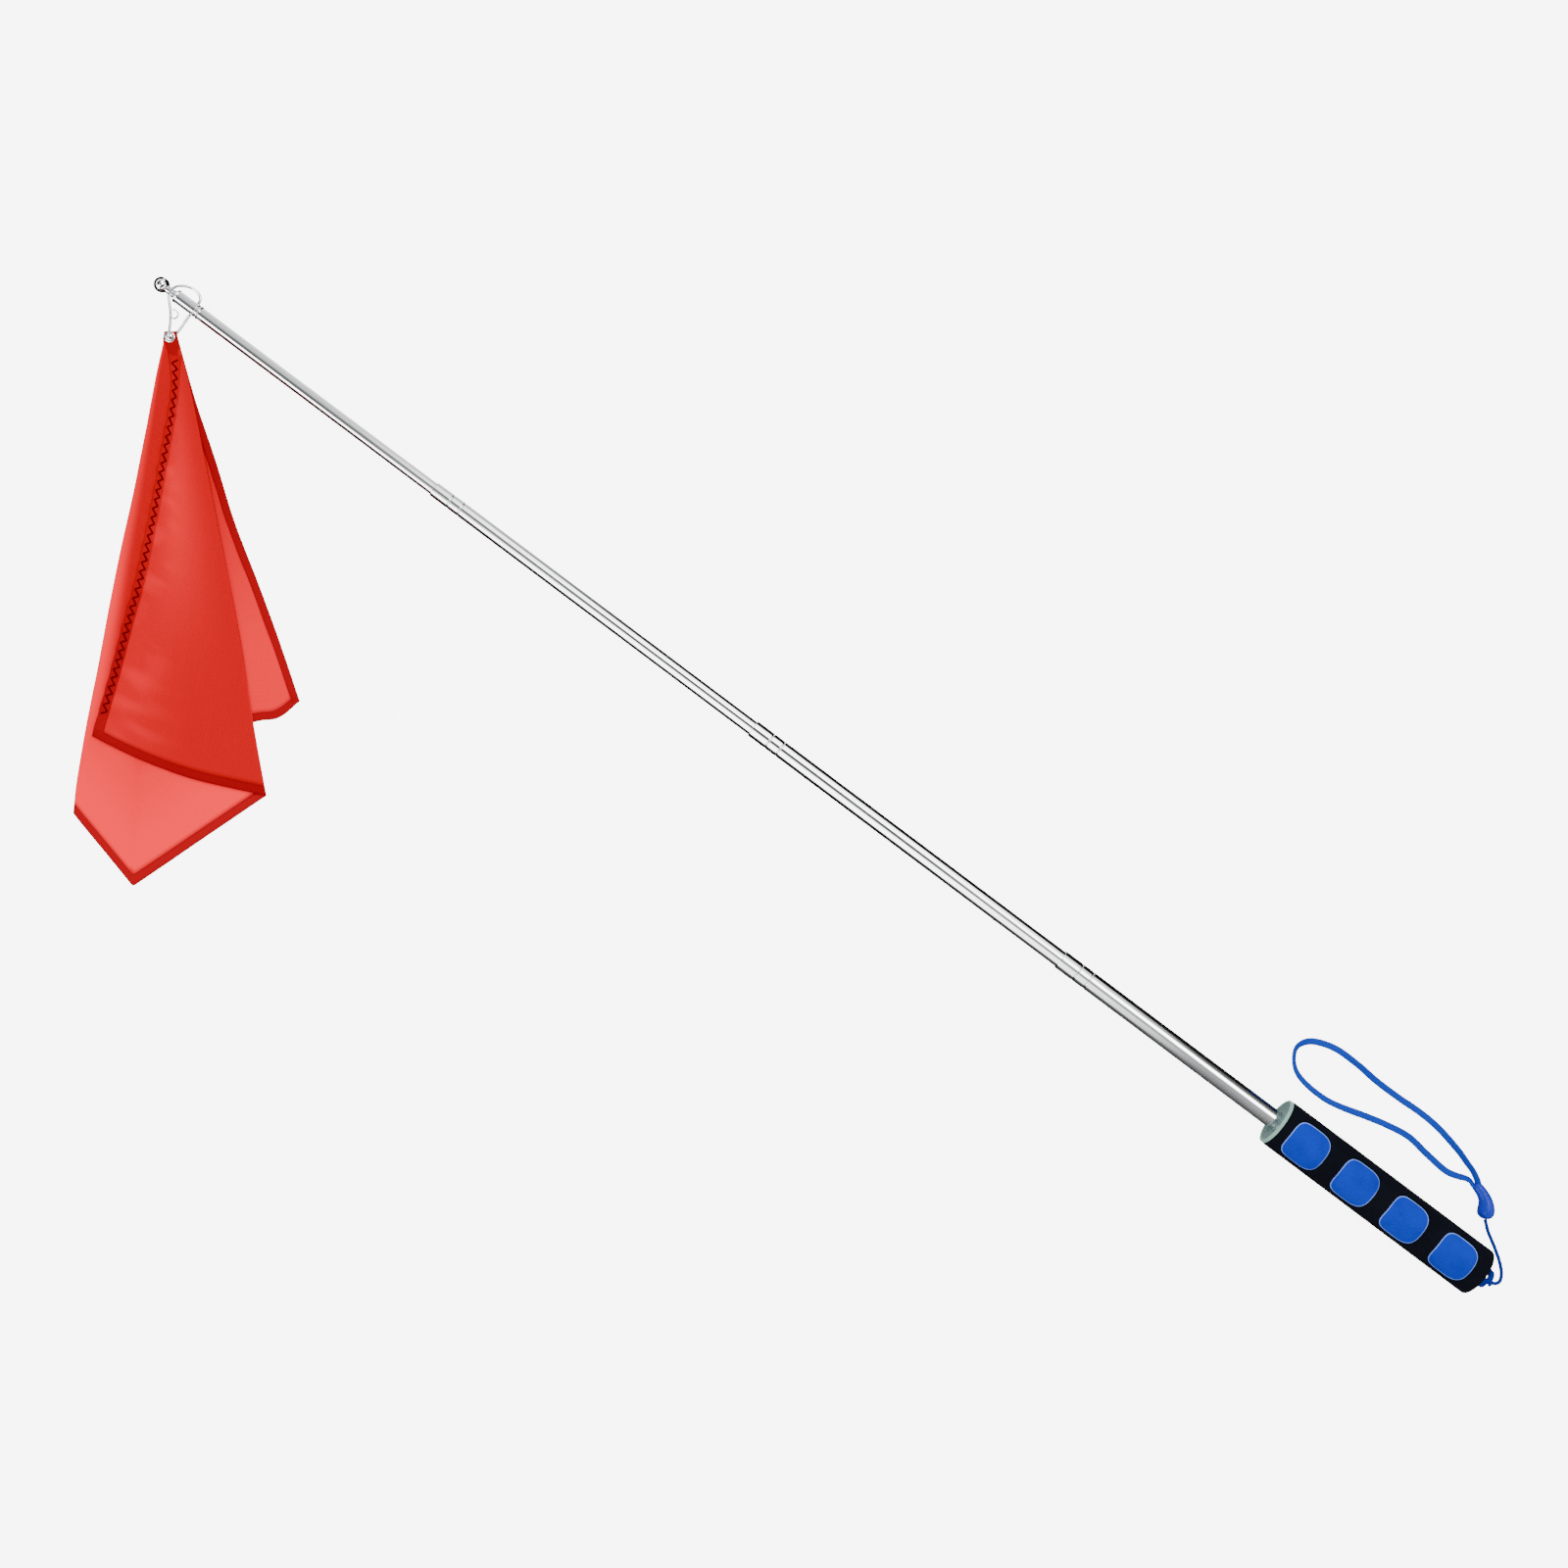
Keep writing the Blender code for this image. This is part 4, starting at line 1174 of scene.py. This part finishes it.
def cloth_at(fold, reach, lift=0.0):
    """Where a point of the cloth lies. fold counts the layers from the hoist, 0 to 3, reach goes from the
    corner, 0, to the far hem, 1, and lift raises it off its layer."""
    if fold <= 1:
        laid = layer_point(hoist, right_fold, front_end, fold, reach)
    elif fold <= 2:
        laid = layer_point(right_fold, left_fold, middle_end, fold - 1, reach)
    else:
        laid = layer_point(left_fold, rear_hem, rear_end, fold - 2, reach)
    along, across = laid.x, laid.y
    spread = eased_step(along, 15 * MM, 80 * MM)
    width = (20 + 80 * reach) * MM
    stack = 2.0
    for turn_at in (1, 2):
        off = (fold - turn_at) * width / (2.2 * MM)
        stack -= 0.5 + 0.5 * math.copysign(min(1.0, abs(off)) ** 0.5, off)
    level = (0.2 + 0.34 * stack) * (1 - spread) + (0.25 + 0.62 * stack) * spread
    waves = ripple(along, across) * (0.4 + 0.3 * stack)
    puckers = 0.0
    if fold < 1:
        from_hoist = fold * 100 * MM * reach
        near_hem = math.exp(-((from_hoist / (13 * MM)) ** 2))
        puckers = 0.38 * MM * near_hem * math.sin(along / (1.9 * MM) + 40 * from_hoist) * spread
    raised = max(0.0, RAISED - along) * RAISED_SLOPE
    height = level * MM + waves + puckers + raised + lift
    return ground @ (CORNER + FLAG_WAY * along + FLAG_ACROSS * across + Vector((0, 0, height)))


def cut_angle(fold):
    """The direction on the flat cloth, measured from the hoist, at which a fold position lies."""
    if fold <= 1:
        return FRONT_TURN * fold
    if fold <= 2:
        return FRONT_TURN + (MIDDLE_TURN - FRONT_TURN) * (fold - 1)
    return MIDDLE_TURN + (math.pi / 2 - MIDDLE_TURN) * (fold - 2)


def cut_place(fold, reach):
    """The same point on the flat square, from its corner: along the hoist, and along the next hem."""
    angle = cut_angle(fold)
    edge = CLOTH_SIDE / max(math.cos(angle), math.sin(angle))
    return Vector((math.cos(angle), math.sin(angle), 0)) * edge * reach


def painted_cloth_light(fold, reach):
    """Painted light in the cloth's colour, 0 over three layers and 1 over one: floor light shining through,
    with painted sheen and crease highlights on the front layer and a painted glow along the left fold.
    """
    if fold <= 1:
        # Painted sheen: a paler zone high on the front layer and a fainter one lower down
        upper = 0.34 * math.exp(-(((fold - 0.42) / 0.30) ** 2) - ((reach - 0.42) / 0.24) ** 2)
        lower = 0.14 * math.exp(-(((fold - 0.15) / 0.25) ** 2)) * eased_step(reach, 0.4, 0.9)
        # Painted crease highlights in a band beside the hoist seam
        near_fold = math.exp(-(((fold - 0.2) / 0.18) ** 2))
        creases = near_fold * max(0.0, noise.noise(Vector((reach * 38, fold * 4, 1.3))))
        return 0.03 + upper + lower + 0.35 * creases
    if fold <= 2:
        # Painted light through the single layer below the front hem, and a painted glow along the left fold
        below = eased_step(reach, 0.70, 0.82)
        edge_glow = eased_step(fold, 1.86, 1.99) * (0.45 + 0.45 * eased_step(reach, 0.25, 0.6))
        return max(below * (0.74 + 0.26 * eased_step(reach, 0.8, 0.95)), edge_glow)
    # Painted light through the rear layer, stronger towards the far hem
    return 0.10 + 0.52 * eased_step(reach, 0.30, 0.85)


red_look, tree, shader = principled("red_nylon", CLOTH_RED, 0.6, Specular_IOR_Level=0.01)


def build_plain_weave():
    """Fine over-and-under weave that follows the cut of the cloth, from its 'cut' attribute."""
    tree, given, result = new_effect("plain_weave", [("Threads", 1800.0)], ["Height", "Slub"])
    cut = tree.nodes.new("ShaderNodeAttribute")
    cut.attribute_name = "cut"
    place = tree.nodes.new("ShaderNodeSeparateXYZ")
    tree.links.new(cut.outputs["Vector"], place.inputs[0])
    waves = []
    for axis in ("X", "Y"):
        turns = maths(tree, "MULTIPLY", place.outputs[axis], given.outputs["Threads"])
        waves.append(maths(tree, "SINE", maths(tree, "MULTIPLY", turns, math.pi)))
    tree.links.new(maths(tree, "MULTIPLY", waves[0], waves[1]), result.inputs["Height"])
    slub = put(tree, "TexNoise", Scale=1.0, Detail=3)
    drawn_out = put(tree, "Mapping", Scale=(30, 900, 1))
    tree.links.new(cut.outputs["Vector"], drawn_out.inputs["Vector"])
    tree.links.new(drawn_out.outputs["Vector"], slub.inputs["Vector"])
    tree.links.new(slub.outputs["Fac"], result.inputs["Slub"])
    return tree


plain_weave = build_plain_weave()
weave = effect(tree, plain_weave, Threads=1600.0)
# Painted light: the 'pale' attribute blends in a paler red for floor light shining through, sheen and crease
# highlights
pale = tree.nodes.new("ShaderNodeAttribute")
pale.attribute_name = "pale"
# Painted shade of the hems, from the 'hem' attribute: the doubled cloth lets less floor light through
painted_hem_shade = tree.nodes.new("ShaderNodeAttribute")
painted_hem_shade.attribute_name = "hem"
plain = blended(tree, weave.outputs["Slub"], CLOTH_SHADE, CLOTH_RED)
painted_lit = blended(tree, pale.outputs["Fac"], plain, CLOTH_PAINTED_LIGHT)
tree.links.new(blended(tree, painted_hem_shade.outputs["Fac"], painted_lit, HEM_PAINTED_SHADE), shader.inputs["Base Color"])
bumped(tree, shader, weave.outputs["Height"], 0.03 * MM)

LAYER_STEPS = 44
REACH_STEPS = 150


def cloth_strip(name, fold_of, reach_of, fold_steps, reach_steps, lift=0.0, hem_shade=None):
    """A grid laid on the cloth. fold_of and reach_of turn the grid's two shares into a cloth position."""
    bm = bmesh.new()
    cut = bm.verts.layers.float_vector.new("cut")
    painted_light_layer = bm.verts.layers.float.new("pale")
    hem_shade_layer = bm.verts.layers.float.new("hem")
    bmesh.ops.create_grid(bm, x_segments=fold_steps, y_segments=reach_steps, size=0.5)
    for v in bm.verts:
        across, out = v.co.x + 0.5, v.co.y + 0.5
        reach = reach_of(across, out)
        fold = fold_of(across, reach)
        place = cut_place(fold, reach)
        v[cut] = place
        v[painted_light_layer] = painted_cloth_light(fold, reach)
        inside = min(place.x, place.y, CLOTH_SIDE - place.x, CLOTH_SIDE - place.y)
        # Painted shade: a darker band along every hem, where the doubled cloth lets less floor light through
        v[hem_shade_layer] = 0.75 * (1 - eased_step(inside, HEM_WIDTH - 0.3 * MM, HEM_WIDTH + 0.3 * MM))
        if hem_shade:
            v[hem_shade_layer] = hem_shade(reach)
        v.co = cloth_at(fold, reach, lift)
    return bm


def even_fold(across, reach):
    """Columns that crowd together at the folds, so that these turn over round."""
    fold = 3 * across
    return fold - 0.8 * math.sin(2 * math.pi * fold) / (2 * math.pi)


def growing_reach(across, out):
    """Rows that crowd together at the corner, where the eyelet is set."""
    return 0.006 + 0.994 * out**1.5


cloth_bm = cloth_strip("flag_nylon", even_fold, growing_reach, 3 * LAYER_STEPS, REACH_STEPS)
eyelet_place = ground @ EYELET
punched = []
for face in cloth_bm.faces:
    if (face.calc_center_median() - eyelet_place).xy.length < EYELET_BARREL + 0.1 * MM:
        punched.append(face)
bmesh.ops.delete(cloth_bm, geom=punched, context="FACES")
flag_nylon = finished("flag_nylon", cloth_bm, sharp_over=180)
thick = flag_nylon.modifiers.new("thickness", "SOLIDIFY")
thick.thickness = CLOTH_THICKNESS
thick.offset = 0
flag_nylon.data.materials.append(red_look)
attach(flag_nylon, "flag")
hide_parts("flag_cloth")


# ---------------------------------------------------------------- flag hems and stitching
# The raw edges are turned in twice and sewn: a straight seam on three sides, and on the hoist a wider hem
# with a zigzag seam that puckers the cloth. Only the zigzag seam is drawn here.

HEM_LIFT = 0.26 * MM
HOIST_HEM = 6.5 * MM
STITCH_RED = (0.10, 0.0, 0.002)
STITCH_DARK = (0.07, 0.0, 0.001)
THREAD_RADIUS = 0.42 * MM


def far_hem_reach(across, out):
    return 1 - (HEM_WIDTH / CLOTH_SIDE) * (1 - out)


def fold_at(angle):
    """The fold position at a direction on the flat cloth."""
    if angle <= FRONT_TURN:
        return angle / FRONT_TURN
    if angle <= MIDDLE_TURN:
        return 1 + (angle - FRONT_TURN) / (MIDDLE_TURN - FRONT_TURN)
    return 2 + (angle - MIDDLE_TURN) / (math.pi / 2 - MIDDLE_TURN)


def hoist_hem_fold(across, reach):
    angle = math.asin(min(0.45, HOIST_HEM * across / (CLOTH_SIDE * max(reach, 0.05))))
    return fold_at(angle)


def rear_hem_fold(across, reach):
    angle = math.asin(min(0.45, HEM_WIDTH * (1 - across) / (CLOTH_SIDE * max(reach, 0.05))))
    return fold_at(math.pi / 2 - angle)


def hem_out(across, out):
    return 0.06 + 0.93 * out


# Painted shade on the hem strips; the hoist hem is drawn darker farther from the corner
def even_shade(reach):
    return 0.85


def hoist_shade(reach):
    return 0.42 + 0.33 * eased_step(reach, 0.45, 0.8)


def far_hem_fold(across, reach):
    return 3 * across


far_hem = cloth_strip("hem_far", far_hem_fold, far_hem_reach, 240, 3, HEM_LIFT, even_shade)
hoist_hem = cloth_strip("hem_hoist", hoist_hem_fold, hem_out, 6, 220, HEM_LIFT, hoist_shade)
rear_side_hem = cloth_strip("hem_rear", rear_hem_fold, hem_out, 4, 160, HEM_LIFT, even_shade)
for name, hem_bm in (("hem_far", far_hem), ("hem_hoist", hoist_hem), ("hem_rear", rear_side_hem)):
    hem = finished(name, hem_bm, sharp_over=180)
    thick = hem.modifiers.new("thickness", "SOLIDIFY")
    thick.thickness = 0.26 * MM
    thick.offset = 0
    hem.data.materials.append(red_look)
    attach(hem, "flag")

thread_look, tree, shader = principled("sewing_thread", STITCH_RED, 0.5, Specular_IOR_Level=0.02)
strands = effect(tree, braid, Pitch=0.5 * MM, Slant=0.8)
# Painted shade between the strands, from the braid's Shade
colour = blended(tree, strands.outputs["Shade"], STITCH_DARK, STITCH_RED)
tree.links.new(colour, shader.inputs["Base Color"])
bumped(tree, shader, strands.outputs["Strand"], 0.04 * MM)

zigzag = []
ZIGZAG_PITCH = 5.4 * MM
turns = int(CLOTH_SIDE * 0.9 / ZIGZAG_PITCH)
for i in range(2 * turns):
    along = CLOTH_SIDE * 0.07 + i * ZIGZAG_PITCH / 2
    inward = (1.6 if i % 2 else 5.2) * MM
    reach = math.hypot(along, inward) / (CLOTH_SIDE / math.cos(math.atan2(inward, along)))
    zigzag.append(cloth_at(fold_at(math.atan2(inward, along)), reach, HEM_LIFT + 0.3 * MM))
seams = bmesh.new()
for a, b in zip(zigzag, zigzag[1:]):
    stitch = swept("stitch", round_outline(THREAD_RADIUS, 6), wire_places([a, a.lerp(b, 0.5), b]))
    seams.from_mesh(stitch.data)
    bpy.data.objects.remove(stitch)
hoist_seam = finished("seam_hoist", seams)
hoist_seam.data.materials.append(thread_look)
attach(hoist_seam, "flag")


# ---------------------------------------------------------------- floor and light
# A plain white floor under a wide soft light. Bright metal mirrors a room of its own: bands of light and
# dark round the pole's line, which change in three steps from the grip to the tip, and rings of light
# and dark for whatever faces along the pole.

FLOOR_BRIGHT = 7.0
FLOOR_GREY = (0.2, 0.2, 0.2)
ROOM_WHITE = (1.5, 1.5, 1.5)
bpy.ops.mesh.primitive_plane_add(size=6)
floor = bpy.context.object
floor.name = "floor"
floor.visible_glossy = False
floor.visible_diffuse = False
floor_look, tree, shader = principled("pale_floor", FLOOR_GREY, 0.9, Specular_IOR_Level=0.0)
shader.inputs["Emission Color"].default_value = (1, 1, 1, 1)
shader.inputs["Emission Strength"].default_value = FLOOR_BRIGHT
floor.data.materials.append(floor_look)

world = bpy.data.worlds.new("studio")
bpy.context.scene.world = world
world.use_nodes = True
tree = world.node_tree
tree.nodes.clear()
view_way = tree.nodes.new("ShaderNodeTexCoord")
split = tree.nodes.new("ShaderNodeSeparateXYZ")
tree.links.new(view_way.outputs["Generated"], split.inputs[0])
side_angle = maths(tree, "ARCTAN2", split.outputs["Y"], split.outputs["Z"])
around = maths(tree, "ADD", maths(tree, "DIVIDE", side_angle, 2 * math.pi), 0.5)


def room(share, stops, interpolation="EASE"):
    """Brightness in bands, along a share of the room that runs from 0 to 1."""
    ramp = tree.nodes.new("ShaderNodeValToRGB")
    tree.links.new(share, ramp.inputs[0])
    ramp.color_ramp.interpolation = interpolation
    elements = ramp.color_ramp.elements
    while len(elements) < len(stops):
        elements.new(0.5)
    for element, (position, value) in zip(elements, stops):
        element.position = position
        element.color = (value, value, value, 1)
    return ramp.outputs["Color"]


# Round the pole's line: from straight down, up the strap's side, over and down again
NEAR_GRIP = [(0.0, 0.01), (0.25, 0.01), (0.29, 0.12), (0.37, 0.25), (0.395, 12.0), (0.455, 12.0),
             (0.48, 0.9), (0.55, 0.50), (0.65, 0.30), (0.75, 0.20), (0.85, 0.08), (1.0, 0.03)]
MIDWAY = [(0.0, 0.01), (0.26, 0.01), (0.31, 6.0), (0.42, 9.0), (0.45, 0.5), (0.475, 0.01), (0.50, 0.01),
          (0.53, 0.8), (0.57, 8.0), (0.70, 9.0), (0.745, 0.01), (1.0, 0.01)]
NEAR_TIP = [(0.0, 3.0), (0.14, 2.6), (0.24, 1.4), (0.44, 1.0), (0.49, 0.28), (0.565, 0.14),
            (0.60, 0.01), (0.63, 10.0), (0.68, 10.0), (0.72, 0.01), (1.0, 0.01)]
near_grip, midway, near_tip = (room(around, stops) for stops in (NEAR_GRIP, MIDWAY, NEAR_TIP))
to_middle = put(tree, "MapRange", From_Min=-0.20, From_Max=-0.05)
to_tip = put(tree, "MapRange", From_Min=0.12, From_Max=0.27)
for lean in (to_middle, to_tip):
    tree.links.new(split.outputs["X"], lean.inputs["Value"])
rear_half = blended(tree, to_middle.outputs["Result"], near_grip, midway)
round_pole = blended(tree, to_tip.outputs["Result"], rear_half, near_tip)

# Balls, beads and wires mirror more of the room's ends: one bright ring between a dark floor and ceiling
CEILING = [(0.0, 0.005), (0.52, 0.01), (0.62, 0.06), (0.68, 3.5), (0.75, 4.5), (0.79, 0.05), (0.92, 0.02)]
upwards = maths(tree, "ADD", maths(tree, "MULTIPLY", split.outputs["Z"], 0.5), 0.5)
ceiling = room(upwards, CEILING, "LINEAR")
endways = put(tree, "MapRange", From_Min=0.42, From_Max=0.52)
tree.links.new(maths(tree, "ABSOLUTE", split.outputs["X"]), endways.inputs["Value"])
mirrored = blended(tree, endways.outputs["Result"], round_pole, ceiling)
ray = tree.nodes.new("ShaderNodeLightPath")
seen_white = (FLOOR_BRIGHT,) * 3
room_light = blended(tree, ray.outputs["Is Camera Ray"], ROOM_WHITE, seen_white)
background = tree.nodes.new("ShaderNodeBackground")
tree.links.new(blended(tree, ray.outputs["Is Glossy Ray"], room_light, mirrored), background.inputs["Color"])
output = tree.nodes.new("ShaderNodeOutputWorld")
tree.links.new(background.outputs[0], output.inputs["Surface"])

for name, place, size, power in (
    ("key_light", (0.25, -0.9, 1.5), 1.0, 18),
    ("fill_light", (-0.5, 0.9, 1.6), 1.6, 6),
):
    lamp = bpy.data.lights.new(name, "AREA")
    lamp.size = size
    lamp.energy = power
    light = bpy.data.objects.new(name, lamp)
    light.location = place
    light.rotation_euler = (Vector(place)).to_track_quat("Z", "Y").to_euler()
    light.visible_glossy = False
    bpy.context.scene.collection.objects.link(light)
